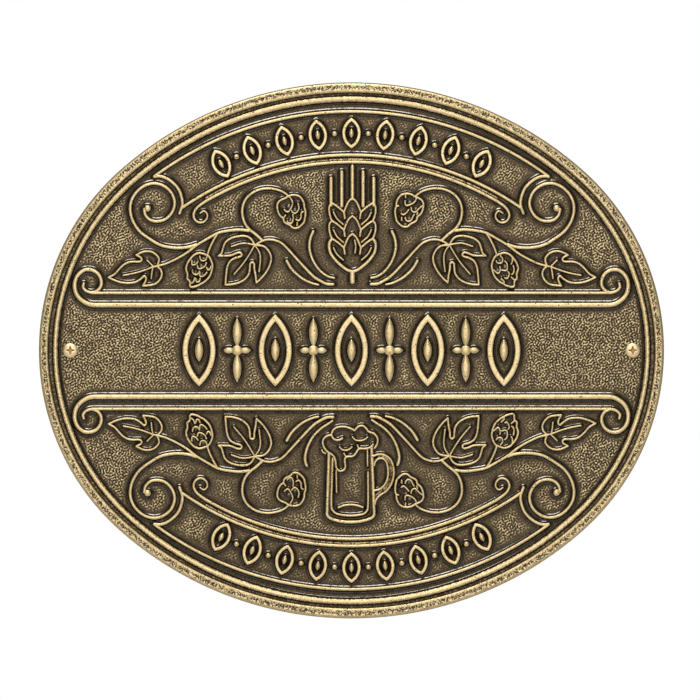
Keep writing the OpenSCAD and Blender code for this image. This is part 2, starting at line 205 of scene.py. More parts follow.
class Relief:
    """Collects the raised figures of one piece. Each is a closed skin that stands in the ground."""

    everything = []  # points of all figures, each with how far the figure reaches around it

    def __init__(self, name, height=RIB_H):
        self.name = name
        self.height = height
        self.points, self.lift, self.faces, self.count = [], [], [], 0

    def add(self, points, lift, faces):
        """Faces are arrays with a face in each row. Points that no face uses are left out."""
        used, index = np.unique(np.concatenate([f.ravel() for f in faces]), return_inverse=True)
        ends = np.cumsum([f.size for f in faces])
        for f, corners in zip(faces, np.split(index + self.count, ends[:-1])):
            self.faces.extend(corners.reshape(f.shape).tolist())
        self.points.append(points[used])
        self.lift.append(lift[used])
        self.count += len(used)

    def rib(self, path, w, w_end=None, closed=False, height=None, gilt=1.0, crown=CROWN):
        """A rounded rib along a path, w wide at its start and w_end at its end"""
        height = height or self.height
        path = np.asarray(path, float)
        half = np.linspace(w, w_end or w, len(path)) / 2
        Relief.everything.append(np.column_stack([path, half]))
        along, left, lean, bend = directions(path, closed)

        # The section, from its middle out: distances to the left and to the right, and levels
        spread = min(1, NARROWEST_FLANK + FLANK_WIDENS * w)
        shares = [share for share, level in crown] + [1] * len(FLANK)
        extra = [0] * len(crown) + [out * spread for out, level in FLANK]
        reach = half[:, None] * np.array(shares) + np.array(extra)
        to_left, to_right = (
            np.minimum(reach, np.where((lean >= CORNER) & (turn > 0),
                                       BEND_REACH / np.maximum(turn, 1e-6), NO_LIMIT)[:, None])
            for turn in (bend, -bend))
        level = [level for share, level in crown] + [level for out, level in FLANK]

        def ring(centre, side, ahead, on_left, on_right):
            """Points from the left foot over the top to the right foot"""
            return np.vstack([centre + on_left[::-1, None] * side + on_left[::-1, None] * ahead,
                              centre - on_right[1:, None] * side + on_right[1:, None] * ahead])

        rings = [ring(*section) for section in zip(path, left / lean[:, None], 0 * path, to_left,
                                                   to_right)]
        if not closed:
            caps = [(math.cos(math.radians(a)), math.sin(math.radians(a))) for a in CAP_ANGLES]
            first, last = (
                [ring(path[end], left[end] * c, ahead * along[end] * s, to_left[end], to_left[end])
                 for c, s in caps] for end, ahead in ((0, -1), (-1, 1)))
            rings = first + rings + last[::-1]
        rings = np.array(rings)
        shape = rings.shape[:2]
        levels = np.array(level[::-1] + level[1:])
        index = np.arange(shape[0] * shape[1]).reshape(shape)
        if closed:
            index = np.vstack([index, index[:1]])
        else:
            middle = shape[1] // 2
            for end in (0, -1):
                index[end, middle + 1:] = index[end, :middle][::-1]
        points = np.dstack([rings, np.broadcast_to(GROUND_T + height * levels, shape)])
        lift = np.broadcast_to(np.clip(levels, 0, 1) * gilt, shape)
        self.add(points.reshape(-1, 3), lift.reshape(-1), [ring_faces(index)])

    def quarters(self, path, w, w_end=None, uneven=True):
        """The same rib in the four quarters"""
        for turned in in_quadrants(path, uneven):
            self.rib(turned, w, w_end)

    def boss(self, outline, crown=CROWN, height=None, gilt=1.0):
        """A closed figure that swells from its outline to its middle"""
        height = height or self.height
        outline = np.asarray(outline, float)
        centre = outline.mean(0)
        from_centre = outline - centre
        tangent = unit(np.roll(outline, -1, 0) - np.roll(outline, 1, 0))
        outward = np.stack([tangent[:, 1], -tangent[:, 0]], 1)
        rings = [(outline + out * outward, level) for out, level in FLANK[::-1]]
        rings += [(centre + from_centre * share, level) for share, level in crown[:0:-1]]
        index = np.arange(len(rings) * len(outline)).reshape(len(rings), -1)
        rings.append((centre[None], crown[0][1]))
        levels = np.concatenate([np.full(len(ring), level) for ring, level in rings])
        points = np.column_stack([np.vstack([ring for ring, level in rings]),
                                  GROUND_T + height * levels])
        self.add(points, np.clip(levels, 0, 1) * gilt,
                 [ring_faces(index), fan(index[-1], index.size), index[:1, ::-1]])
        for share in BOSS_SAMPLES:
            Relief.everything.append(
                np.column_stack([centre + from_centre * share, np.full(len(outline), SAMPLE_R)]))
        narrowest = min(np.linalg.norm(from_centre, axis=1))
        Relief.everything.append(np.array([[*centre, narrowest]]))

    def finish(self):
        return make_piece(self.name, np.vstack(self.points), self.faces,
                          lift=np.concatenate(self.lift))


def make_piece(name, points, faces, shade_smooth=True, **values):
    """A mesh from plan coordinates. Its material reads the values, one for each point."""
    points = np.asarray(points, float)
    mesh = bpy.data.meshes.new(name)
    placed_points = np.column_stack([points[:, 0], -points[:, 2], points[:, 1]]) * MM
    faces = [[v for i, v in enumerate(face) if v != face[i - 1]] for face in faces]
    mesh.from_pydata(placed_points.tolist(), [], [face for face in faces if len(face) > 2])
    for label, amounts in values.items():
        layer = mesh.attributes.new(label, "FLOAT", "POINT")
        layer.data.foreach_set("value", np.asarray(amounts, np.float32))
    if shade_smooth:
        mesh.shade_smooth()
    mesh.update()
    piece = bpy.data.objects.new(name, mesh)
    bpy.context.scene.collection.objects.link(piece)
    return piece


# The pattern isn't quite even. How far its left side is off in mm, above (1) and below (-1)
LEFT_IN = {1: (0.6, -0.05), -1: (0.6, -0.25)}
LEFT_TENDRIL_IN = {1: (1.1, 0), -1: (0.65, -0.45)}
LEFT_INNER_CONE_IN = {1: (-1.1, -0.65), -1: (-1.05, 0.6)}
NOT_OFF = {1: (0, 0), -1: (0, 0)}
# The ear and the mug stand beside the middle, and the bars lie a little low.
EAR_X = 0.45
MUG_X = -0.4
RAIL_DROP = 0.24


def in_quadrants(points, uneven=True):
    """The same points in the four quarters"""
    points = np.asarray(points, float)
    return [points * [sx, sz] + (LEFT_IN if uneven and sx < 0 else NOT_OFF)[sz]
            for sz in (1, -1) for sx in (1, -1)]


# Bars: the heavy rail turns in at its end to a scroll that the light rail runs into.
RAIL_Z = 21.9
RAIL_GAP = 5.8
RAIL_W = 2.3
RAIL_FINE_W = 1.4
LIGHT_RAIL_END = 124
SCROLL_END = [
    [120, 0], [124.6, 0.2], [128.3, 1.9], [130.9, 4.5], [132.1, 7.7], [132, 11.3], [130.5, 14.5],
    [127.6, 16.7], [124.2, 16.8], [121.2, 15.1], [119.6, 12.1], [119.7, 9.1], [121.4, 6.9],
    [124, 6], [126.6, 6.7], [128.2, 8.5], [127.9, 10.3]]

# Banners. Outer and inner rib: height of the top and radius
BANNER_W = 1.5
BANNER_OUT = (114.1, 158.6)
BANNER_IN = (93.4, 142)
BANNER_GAP = 3.4
BANNER_IN_END = 80.6
# Low filling between the two inner ribs, nearer the lower: width, height and share of gold. Its
# gold is a painted highlight on the lower rib's upper fillet.
BANNER_HIGHLIGHT_FILL = (0.9, 0.55, 0.66)
HIGHLIGHT_FILL_DROP = 0.5
BANNER_END = [
    [94.2, 83], [92, 83.2], [88.9, 82.5], [85.4, 80.2], [82.6, 77], [81.1, 73], [80.8, 69.4],
    [82.1, 65.5]]
BANNER_CURL = [
    [69.4, 71.4], [72.8, 69], [74.7, 66.9], [75.4, 64.6], [74.7, 62.4], [72.8, 61.1], [70.6, 61.4],
    [69, 63.2], [69, 65.3], [70.5, 66.6], [72.3, 65.5]]
BANNER_CURL_W = 0.9
BANNER_MID_Z = (BANNER_OUT[0] + BANNER_IN[0]) / 2
BANNER_MID_R = (BANNER_OUT[1] + BANNER_IN[1] - (BANNER_OUT[0] - BANNER_IN[0])) / 2
# Their ornament: rings this many degrees apart, with pellets between them
BANNER_N = 9
BANNER_PITCH_A = 6.6
BANNER_PIECE = (7.4, 13)
PELLET_D = 2.6

# Scrollwork
SCROLL_W = 1.5
LEAF_W = 1.1
VEIN_W = 0.9
VOLUTE = [
    [99.6, 67.4], [99, 64.7], [96.9, 62.5], [94, 61.7], [90.4, 62.3], [87.4, 64.5], [85.5, 67.8],
    [85.1, 71.2], [86.4, 75], [89, 77.8], [92.5, 79.5], [96.4, 79.7], [100.3, 78.2], [103.8, 75],
    [105.9, 70.9], [106.2, 66.2], [104.7, 61.2], [101.6, 56.8], [97.4, 53.6], [92.4, 50.6],
    [88, 49.4], [83, 49], [78.3, 49.5], [74.8, 50.6]]
VOLUTE_EYE = [98, 67.9]
EYE_D = 3.2
VINE = [
    [9.3, 31.6], [12.4, 31.8], [15.5, 33.3], [19.4, 36], [26.4, 43.4], [32.9, 50.4], [36.4, 52.4],
    [39.6, 53], [43, 52.4], [46.8, 50.3]]
BRANCH = [
    [43.2, 52.6], [46.2, 55.4], [49.4, 57.9], [51.6, 61], [52.7, 65], [52.5, 69], [50.8, 72.7],
    [47.8, 75.4], [44, 77], [39.6, 77.4], [35.4, 76.6], [32.4, 75.2], [30.4, 73.4]]
UPPER_VINE = [
    [49.6, 57.2], [54, 57.7], [59.4, 57.2], [64.4, 56.1], [69.4, 53.4], [74.4, 50.4], [79.4, 46.6],
    [84.4, 43.7], [89.4, 41.4], [94, 40.2]]
CONE_STEM = [[64.6, 55.8], [66.3, 53], [67.9, 49.8], [69, 47], [69.4, 45.4]]
INNER_TENDRIL_TOP = [
    [9.3, 34.6], [12.4, 35.4], [15.9, 37.9], [18.9, 41.9], [20.7, 46.4], [21.2, 50.4], [20.6, 53.9],
    [19.4, 56.8]]
INNER_TENDRIL_LOW = [
    [9.7, 33.2], [12.4, 35], [15.4, 37], [18.9, 40.6], [21.4, 45.1], [22.7, 49.6], [22.7, 52.6],
    [22, 54.6]]
OUTER_TENDRIL = [[16.4, 31.4], [19.6, 32.2], [23.6, 34.1], [27.1, 36.8], [29.5, 39.4], [31.5, 42.8]]
SMALL_LEAF = [
    [[93.4, 40.3], [92.5, 43.4], [93.6, 45.5], [95.8, 47], [98.6, 47.4], [101, 46.8],
     [103.4, 45.6]],
    [[103.4, 45.6], [101.2, 44.4], [100.8, 43.2], [102, 42.4], [105.4, 42.4], [108.4, 41.6],
     [111, 39.5], [113.6, 36.6], [116.6, 34.9]],
    [[116.6, 34.9], [113.6, 33.5], [110.4, 32.5], [107, 32.2], [103.8, 32.7], [101.4, 34.1],
     [99.6, 35.6], [98.7, 34.6], [99, 33], [100.2, 30.9]],
    [[100.2, 30.9], [97.6, 31.1], [94.6, 31.7], [92.4, 33.5], [91.2, 36], [91.6, 38.4],
     [93.4, 40.3]]]
SMALL_VEINS = [
    [[93.4, 40.3], [95.4, 39.9], [99.4, 38.4], [104.4, 36.9], [109.6, 35.9]],
    [[95.4, 40.3], [98.2, 43.1]], [[95.4, 39.6], [95.9, 37.4], [96.2, 34.4]]]
BIG_LEAF = [
    [[46.8, 50.4], [48.2, 52.9], [50, 54.3], [52.4, 54.7], [55.4, 54.4], [58.6, 53.4], [61, 51.4],
     [62, 48.6], [62.7, 46.4], [64.1, 45.2]],
    [[64.1, 45.2], [61.6, 45.2], [58.4, 45.4], [55.6, 46.5], [53.8, 46.8], [52.9, 45.8],
     [53.8, 44.8], [56, 44.2], [58.4, 42.8], [59.8, 40.2], [60.4, 36.6], [60.8, 31.4]],
    [[60.8, 31.4], [57.6, 31.6], [54.2, 32.5], [51.4, 34.2], [49.6, 36.6], [49.1, 39.6],
     [49, 41.4], [48, 42.2], [47.1, 41.4], [47, 39], [46.4, 36], [46, 32.4]],
    [[46, 32.4], [43.6, 34.6], [41, 38], [39.4, 41.4], [39, 44.6], [40.2, 47.6], [42.6, 49.8],
     [46.8, 50.4]]]
BIG_VEINS = [
    [[46.8, 50.4], [50.4, 51.1], [53.4, 51.1], [57.9, 49.7]],
    [[46.8, 50.4], [49.7, 45.4], [52.7, 41.1], [56.7, 36.4]],
    [[46.8, 50.4], [44.7, 47.1], [44.1, 43.7], [44.7, 37.7]]]

# Hop cones: outlines and the edges of their scales
OUTER_CONE = [
    [69.4, 45.4], [68.7, 44.9], [67.7, 43.2], [67.1, 41.4], [67, 39.9], [67.3, 38.4], [67.7, 36.9],
    [68.5, 35.2], [69.7, 33.8], [71.1, 32.6], [72.6, 31.8], [73.7, 31.1], [75.2, 30.6],
    [76.6, 30.3], [77.6, 30.6], [77.8, 31.6], [77.7, 32.6], [78.2, 33.6], [79, 34.2], [79, 35.4],
    [78.9, 36.7], [79.4, 38], [79.6, 39.3], [79.3, 40.6], [78.7, 42.2], [77.7, 43.6], [76.7, 44.8],
    [75.7, 45.7], [74.5, 46.3], [72.9, 46.6], [71, 46.1]]
OUTER_SCALES_RIGHT = [
    [[71.2, 45.1], [72.1, 44], [72.2, 42.9], [71.8, 41.9], [70.9, 41.6], [69.8, 41.8],
     [69.2, 42.6]],
    [[76.7, 44.6], [76.9, 43.2], [76.7, 42], [76.3, 41.2]],
    [[73.3, 42.6], [74.2, 41.7], [74.4, 40.4], [74.4, 39], [73.9, 38.1], [72.9, 38.2],
     [71.8, 38.4]],
    [[70.9, 40], [71.1, 38.9], [70.9, 37.9], [70.4, 37], [69.8, 36.8], [69.1, 37.4],
     [68, 38.4]],
    [[77.3, 40.4], [77.6, 39.1], [77.6, 37.9], [77.2, 36.7], [76.6, 36.3]],
    [[74.8, 37.6], [75.4, 36.7], [75.1, 35.6], [74.6, 34.6], [74, 34.3], [73.3, 34.6]],
    [[71.6, 34.2], [72.4, 33.4], [73, 32.8], [72.8, 31.9]],
    [[76.4, 34.9], [77.2, 34.2], [77.8, 33.7]]]
OUTER_SCALES_LEFT = [
    [[69.6, 45], [70.1, 43.5], [71.3, 42.8], [72.6, 43.3], [73, 45]],
    [[73.9, 42.6], [74.6, 41.6], [76, 40.8], [76.8, 41.2], [76.8, 43]],
    [[69.9, 41.9], [70.6, 40.3], [72.4, 39.2], [73.8, 39.2], [74.2, 40.6]],
    [[67.7, 40.2], [68.3, 38.8], [69.2, 38.5], [69.8, 39.6]],
    [[73.1, 37.8], [73.8, 36.8], [75, 36.2], [76.3, 37], [76.5, 38.4]],
    [[69.7, 37.3], [70.8, 36], [72.4, 35.2], [73.1, 35.9], [73, 37]],
    [[72.9, 34.2], [73.4, 33], [74.6, 32.8], [75, 34.4]],
    [[75.5, 34.6], [76, 33], [77, 32.2]]]
INNER_CONE = [
    [30.4, 73.4], [28.9, 74.4], [26.4, 74.9], [23.9, 74.3], [22.4, 72.7], [21.6, 70.9],
    [21.4, 68.9], [20.9, 67.2], [20.9, 65.4], [21.2, 63.6], [21.6, 61.9], [22.7, 60.6],
    [24.1, 59.4], [25.4, 59], [26.9, 59.2], [28.2, 60.4], [30.2, 61.4], [31.2, 62.4], [31.4, 63.7],
    [32.7, 64.7], [33.7, 66.2], [34.2, 67.9], [34.4, 69.9], [33.7, 71.6], [32.2, 72.7]]
INNER_SCALES_RIGHT = [
    [[31, 73.2], [30.8, 71.9], [30, 70.8], [28.7, 69.9], [27.4, 69.4], [26.3, 69.2], [25.7, 69.8],
     [25.6, 71.4]],
    [[34.3, 69.2], [33.2, 68.6], [32.1, 67.6], [31.2, 66.6], [30.4, 66], [29.4, 66.2], [28.7, 67],
     [28.5, 68.2]],
    [[27.3, 67.2], [26.6, 66.2], [25.7, 65.3], [24.7, 64.8], [23.8, 65.4]],
    [[29.9, 64.8], [29.2, 63.6], [28.6, 62.4], [27.6, 61.7], [26.6, 61.8], [25.9, 62.6],
     [25.7, 63.4]],
    [[24, 63.4], [24, 62]], [[25.8, 74.2], [25.9, 73]], [[21.4, 68.7], [22.5, 69.1]],
    [[31.6, 65.8], [31.2, 64.9]]]
INNER_SCALES_LEFT = [
    [[28.1, 73.6], [27.1, 71.7], [27.2, 69.9], [28.1, 68.2], [29, 66.9], [30, 67], [31, 67.9]],
    [[24.4, 70.8], [24, 68.9], [24.6, 67.1], [25.9, 66.1], [27, 66.6], [27.5, 67.4]],
    [[26.9, 65.4], [26.7, 63.8], [27, 62.4], [27.7, 61.3], [29, 61.6], [29.6, 62.4]],
    [[22, 66.9], [22.8, 66.5], [23, 65.1], [23.1, 63.8], [24.2, 62.6], [25.4, 63.2]],
    [[24.8, 61.6], [24.9, 60.2]], [[30.4, 65.2], [31.2, 64.2]]]
# A scale with more points than this swells a little inside its edge. Share of the way out from the
# edge's middle to its ends, least and largest radius, height, and share of gold
SHORT_SCALE = 3
SCALE_MID = 0.5
SCALE_R = (0.55, 1.0)
SCALE_H = 0.5
SCALE_GILT = 0.16

# Wheat ear. Awns: distance from its middle, and heights of both ends. The first is the middle one.
AWNS = [(0, 72.4, 88), (5.1, 69, 85.2), (10.2, 69.4, 82.2)]
AWN_W = 1.7
GRAIN_ROWS = 3
GRAIN_PITCH = 8.5
GRAIN_OUTER = [[9.8, 70.4], [10.9, 69], [11.1, 66.4], [10.5, 63.7], [9.8, 62]]
GRAIN_UPPER = [[9.8, 70.4], [7.4, 68.9], [5.4, 67.2], [4.1, 65.9], [3.6, 63.1]]
GRAIN_CREASE = [[4.4, 60.2], [7.4, 63], [9, 66]]
MIDDLE_GRAIN = [[0, 72.7], [1.8, 71.1], [3, 68.7], [4.1, 65.9]]
MIDDLE_CREASE = [[1.1, 69.6], [1.6, 66.6], [1.2, 63.6]]
EAR_BASE = [
    [9.8, 53.4], [10.9, 51.6], [11.1, 49.4], [10.5, 46.6], [9, 44.3], [7, 42], [4.8, 40.1],
    [2.4, 38.4], [0, 37.6]]
EAR_STEM = [[0, 32.8], [0, 37]]
EAR_STEM_W = 2.4

# Mug
MUG_BODY = [
    [-10.4, -49.4], [-10.7, -60], [-11.2, -76], [-11.2, -78.4], [-9.6, -80.2], [-5, -81.6],
    [0, -82], [5, -81.6], [9.6, -80.2], [11.2, -78.4], [11.1, -74], [10.4, -56], [10, -45.8]]
MUG_LINES = [
    [[-8.6, -51.6], [-9, -64], [-9.2, -74], [-8.2, -76.8], [-5.6, -78.3], [0, -78.9], [5.4, -78.3],
     [7.6, -76.8], [8.3, -73.6], [8.3, -58.2]],
    [[-5.8, -75], [-3, -74], [0, -73.7], [3, -74], [5.8, -74.9]],
    [[10.3, -50.7], [13, -49.7], [16, -49.9], [19, -52.1], [20.5, -56.1], [20.5, -60], [19.3, -64],
     [17, -67.2], [14, -69.2], [12.2, -71.2], [11.6, -73.4]],
    [[11.2, -54.9], [11.9, -52.9], [13.5, -51.7], [15.5, -51.7], [17.2, -53.6], [17.9, -57.6],
     [17.5, -61.6], [16, -64.4], [13.6, -66.4], [11, -66.9]],
    [[1.9, -38.3], [0.3, -37.4], [-2.5, -36.5], [-6, -36.6], [-8.3, -38], [-9.1, -40.4],
     [-8, -42.3], [-6, -42.9], [-3.9, -42]],
    [[2, -38.1], [3.6, -36.4], [5.8, -36], [7.6, -37.4], [8.6, -38.8], [11, -39.6], [12.8, -41.8],
     [12.7, -44.6], [11.5, -46.6]],
    [[-9.1, -40.4], [-11.4, -40.9], [-13.2, -42.8], [-13, -45.6], [-11.4, -48], [-8.2, -50.4],
     [-7.2, -53], [-6.8, -56], [-5.2, -57.6], [-3.3, -57.1], [-2.5, -55.4], [-2.8, -52.8],
     [-2.2, -50.9], [1, -50.5], [2.6, -48.9], [4, -47], [7, -46.9], [9.4, -46.3], [10.6, -44.9]]]
MUG_FINE_LINES = [
    [[-6.9, -57.4], [-6.7, -67.8]], [[8, -46.8], [8.1, -55.2]],
    [[0.8, -41.2], [2.2, -42.7], [4.4, -43.1], [6.6, -42.6], [8.1, -41.4]],
    [[-5.3, -46.1], [-4, -47.4], [-2, -47.7], [-0.2, -46.9], [0.6, -46.1]],
    [[-3.2, -49.2], [-2.2, -50.8]], [[3.2, -45.2], [4, -47]],
    [[-13.8, -47.4], [-13.3, -48.6], [-12, -49.2]]]

# The handle and the walls are a little raised between their lines.
HANDLE_BAND = [[12, -52.6], [14.6, -50.9], [17.6, -52], [19.2, -55.6], [19.1, -60], [17.6, -64],
               [15, -67.2], [12.4, -69.4]]
HANDLE_BAND_W = 1.9
WALL_BAND = [[-9.6, -53], [-10, -66], [-10.3, -77], [-8.8, -78.8], [-5, -80], [0, -80.4],
             [5, -80], [8.6, -78.6], [9.7, -76], [9.6, -62], [9.3, -50]]
WALL_BAND_W = 0.7
BAND_FILL_H = 0.9
HANDLE_GILT = 0.6
WALL_GILT = 0.02

# Frieze
FRIEZE_N = 9
FRIEZE_PITCH = 18.2
FRIEZE_SIZE = (13.2, 31)
FRIEZE_W = 2.6
FLOWER_BOSS_D = 5
# Size of a ring's lozenge as shares of the ring's, and widths of the petals as shares of the stroke
LOZENGE = (0.3, 0.36)
PETAL = (1.6, 1.2)
SWELL = [(0, 1.0), (0.3, 0.99), (0.55, 0.95), (0.75, 0.88), (0.9, 0.78), (1.0, 0.66)]


def make_bars():
    bars = Relief("bars")
    for sz in (1, -1):
        for y, end, w in ((0, SCROLL_END[0][0], RAIL_W), (RAIL_GAP, LIGHT_RAIL_END, RAIL_FINE_W)):
            rail = np.array([[-end, RAIL_Z + y], [end, RAIL_Z + y]]) * [1, sz] - [0, RAIL_DROP]
            bars.rib(even(rail, 2 * SPACING), w)
        for sx in (1, -1):
            scroll = (curve(SCROLL_END) + [0, RAIL_Z]) * [sx, sz] - [0, RAIL_DROP]
            bars.rib(scroll, RAIL_W, RAIL_FINE_W)
    return bars


def banner_rib(top, r, x_end):
    return arc([0, top - r], r, 90, 90 - math.degrees(math.asin(x_end / r)))


def make_banners():
    banners = Relief("banners")
    companion = [v - BANNER_GAP for v in BANNER_IN]
    for points in (banner_rib(*BANNER_OUT, BANNER_END[0][0]), banner_rib(*BANNER_IN, BANNER_IN_END),
                   banner_rib(*companion, BANNER_CURL[0][0]), curve(BANNER_END)):
        banners.quarters(points, BANNER_W, uneven=False)
    banners.quarters(curve(BANNER_CURL), BANNER_W, BANNER_CURL_W, uneven=False)
    # The filling's gold paints the highlight above the lower inner rib.
    middle = [v - BANNER_GAP / 2 for v in BANNER_IN]
    w, height, gilt = BANNER_HIGHLIGHT_FILL
    for path in in_quadrants(banner_rib(*middle, BANNER_CURL[0][0]), uneven=False):
        banners.rib(path - [0, HIGHLIGHT_FILL_DROP], w, height=height, gilt=gilt, crown=FLAT)
    return banners


def oval_ring(relief, size, stroke, at, turn=0):
    """Pointed oval ring with a lozenge in it"""
    w, h = size
    relief.rib(placed(pointed_oval(w, h), at, turn), stroke, closed=True, crown=FLAT)
    lozenge = pointed_oval(w * LOZENGE[0], h * LOZENGE[1])
    relief.boss(placed(lozenge, at, turn), SWELL)


def make_banner_pieces():
    """Pointed oval rings and pellets that follow the banners"""
    pieces = Relief("banner_pieces", FRIEZE_H)
    last = BANNER_N - 1
    for sz in (1, -1):
        for i in range(-last, last + 1):
            a = -i / 2 * BANNER_PITCH_A
            at = placed([0, BANNER_MID_R], (0, BANNER_MID_Z - BANNER_MID_R), a) * [1, sz]
            if i % 2 == 0:
                oval_ring(pieces, BANNER_PIECE, SCROLL_W, at, a * sz)
            else:
                pieces.boss(disc(at, PELLET_D), SWELL)
    return pieces


def make_scrolls():
    scrolls = Relief("scrolls")
    for knots, w_end in ((VOLUTE, SCROLL_W), (VINE, LEAF_W), (BRANCH, LEAF_W),
                         (UPPER_VINE, LEAF_W)):
        scrolls.quarters(curve(knots), SCROLL_W, w_end)
    for eye in in_quadrants(VOLUTE_EYE):
        scrolls.boss(disc(eye, EYE_D), SWELL)
    return scrolls


def make_tendrils():
    tendrils = Relief("tendrils")
    tendrils.quarters(curve(OUTER_TENDRIL), LEAF_W, SCROLL_W)
    tendrils.quarters(curve(CONE_STEM), LEAF_W)
    for sx, shift in ((1, NOT_OFF), (-1, LEFT_TENDRIL_IN)):
        for sz, knots in ((1, INNER_TENDRIL_TOP), (-1, INNER_TENDRIL_LOW)):
            tendrils.rib(curve(knots) * [sx, sz] + shift[sz], LEAF_W, SCROLL_W)
    return tendrils


def make_leaves():
    leaves = Relief("leaves")
    for lobes, w in ((SMALL_LEAF + BIG_LEAF, LEAF_W), (SMALL_VEINS + BIG_VEINS, VEIN_W)):
        for lobe in lobes:
            leaves.quarters(curve(lobe), w)
    return leaves


def make_cones():
    """Outlines with the edges of the scales, which differ to the right and to the left"""
    cones = Relief("cones")
    for outline, scales, sx, shift in (
            (OUTER_CONE, OUTER_SCALES_RIGHT, 1, NOT_OFF),
            (INNER_CONE, INNER_SCALES_RIGHT, 1, NOT_OFF),
            (OUTER_CONE, OUTER_SCALES_LEFT, -1, LEFT_IN),
            (INNER_CONE, INNER_SCALES_LEFT, -1, LEFT_INNER_CONE_IN)):
        for sz in (1, -1):
            cones.rib(curve(outline, closed=True) * [sx, sz] + shift[sz], LEAF_W, closed=True)
        for scale in scales:
            ends = (np.array(scale[0]) + scale[-1]) / 2
            out = (ends - scale[len(scale) // 2]) * SCALE_MID
            r = np.clip(np.linalg.norm(out), *SCALE_R)
            swelling = disc(ends - out, 2 * r, SCALE_SPACING)
            for sz in (1, -1):
                cones.rib(curve(scale) * [sx, sz] + shift[sz], VEIN_W)
                if len(scale) > SHORT_SCALE:
                    turned = (swelling * [sx, sz] + shift[sz])[::sx * sz]
                    cones.boss(turned, SWELL, SCALE_H, SCALE_GILT)
    return cones


def make_wheat_ear():
    ear = Relief("wheat_ear")
    for sx in (1, -1):
        for x, z0, z1 in AWNS[0 if sx == 1 else 1:]:
            awn = np.array([[x * sx + EAR_X, z0], [x * sx + EAR_X, z1]])
            ear.rib(even(awn, SPACING), AWN_W)
        for row in range(GRAIN_ROWS):
            down = [0, -row * GRAIN_PITCH]
            lines = [(GRAIN_UPPER, LEAF_W), (MIDDLE_GRAIN, LEAF_W), (GRAIN_CREASE, VEIN_W)]
            if row < GRAIN_ROWS - 1:
                lines.append((GRAIN_OUTER, LEAF_W))
            elif sx == 1:
                lines.append((MIDDLE_CREASE, VEIN_W))
            for knots, w in lines:
                ear.rib((curve(knots) + down) * [sx, 1] + [EAR_X, 0], w)
        ear.rib(curve(EAR_BASE) * [sx, 1] + [EAR_X, 0], SCROLL_W)
    ear.rib(even(np.array(EAR_STEM) + [EAR_X, 0], SPACING), EAR_STEM_W)
    return ear


def make_mug():
    mug = Relief("mug")
    for knots, w, gilt in ((HANDLE_BAND, HANDLE_BAND_W, HANDLE_GILT),
                           (WALL_BAND, WALL_BAND_W, WALL_GILT)):
        mug.rib(curve(knots) + [MUG_X, 0], w, height=BAND_FILL_H, gilt=gilt, crown=FLAT)
    for lines, w in (([MUG_BODY], SCROLL_W), (MUG_LINES, LEAF_W), (MUG_FINE_LINES, VEIN_W)):
        for knots in lines:
            mug.rib(curve(knots) + [MUG_X, 0], w)
    return mug


def make_frieze():
    """Pointed oval rings and flowers in turn"""
    frieze = Relief("frieze", FRIEZE_H)
    w, h = FRIEZE_SIZE
    seat = FLOWER_BOSS_D / 4
    for i in range(FRIEZE_N):
        x = (i - (FRIEZE_N - 1) / 2) * FRIEZE_PITCH
        if i % 2 == 0:
            oval_ring(frieze, FRIEZE_SIZE, FRIEZE_W, (x, 0))
            continue
        tall = pointed_oval(FRIEZE_W * PETAL[0], h / 2 - seat)
        short = pointed_oval(FRIEZE_W * PETAL[1], w / 2 - seat)
        for s in (1, -1):
            frieze.boss(placed(tall, (x, s * (h / 2 + seat) / 2)), SWELL)
            frieze.boss(placed(short, (x + s * (w / 2 + seat) / 2, 0), 90), SWELL)
        frieze.boss(disc((x, 0), FLOWER_BOSS_D, SPACING), SWELL)
    return frieze


# Points on each short arc at an end, and on each long arc
END_POINTS = 150
TOP_POINTS = 200


def oval_line(d):
    """The outline drawn in by d, counter-clockwise. d is one distance, or one for each point."""
    a = math.degrees(JOIN_A)
    line, inward = [], []
    for sign in (1, -1):
        for centre, r, a0, a1, n in (((END_X, 0), END_R, -a, a, END_POINTS),
                                     ((0, -TOP_DROP), TOP_R, a, 180 - a, TOP_POINTS)):
            angle = np.radians(np.linspace(a0, a1, n, endpoint=False))
            outward = np.stack([np.cos(angle), np.sin(angle)], 1)
            line.append(sign * (np.array(centre) + r * outward))
            inward.append(-sign * outward)
    return np.vstack(line) + np.reshape(d, (-1, 1)) * np.vstack(inward)
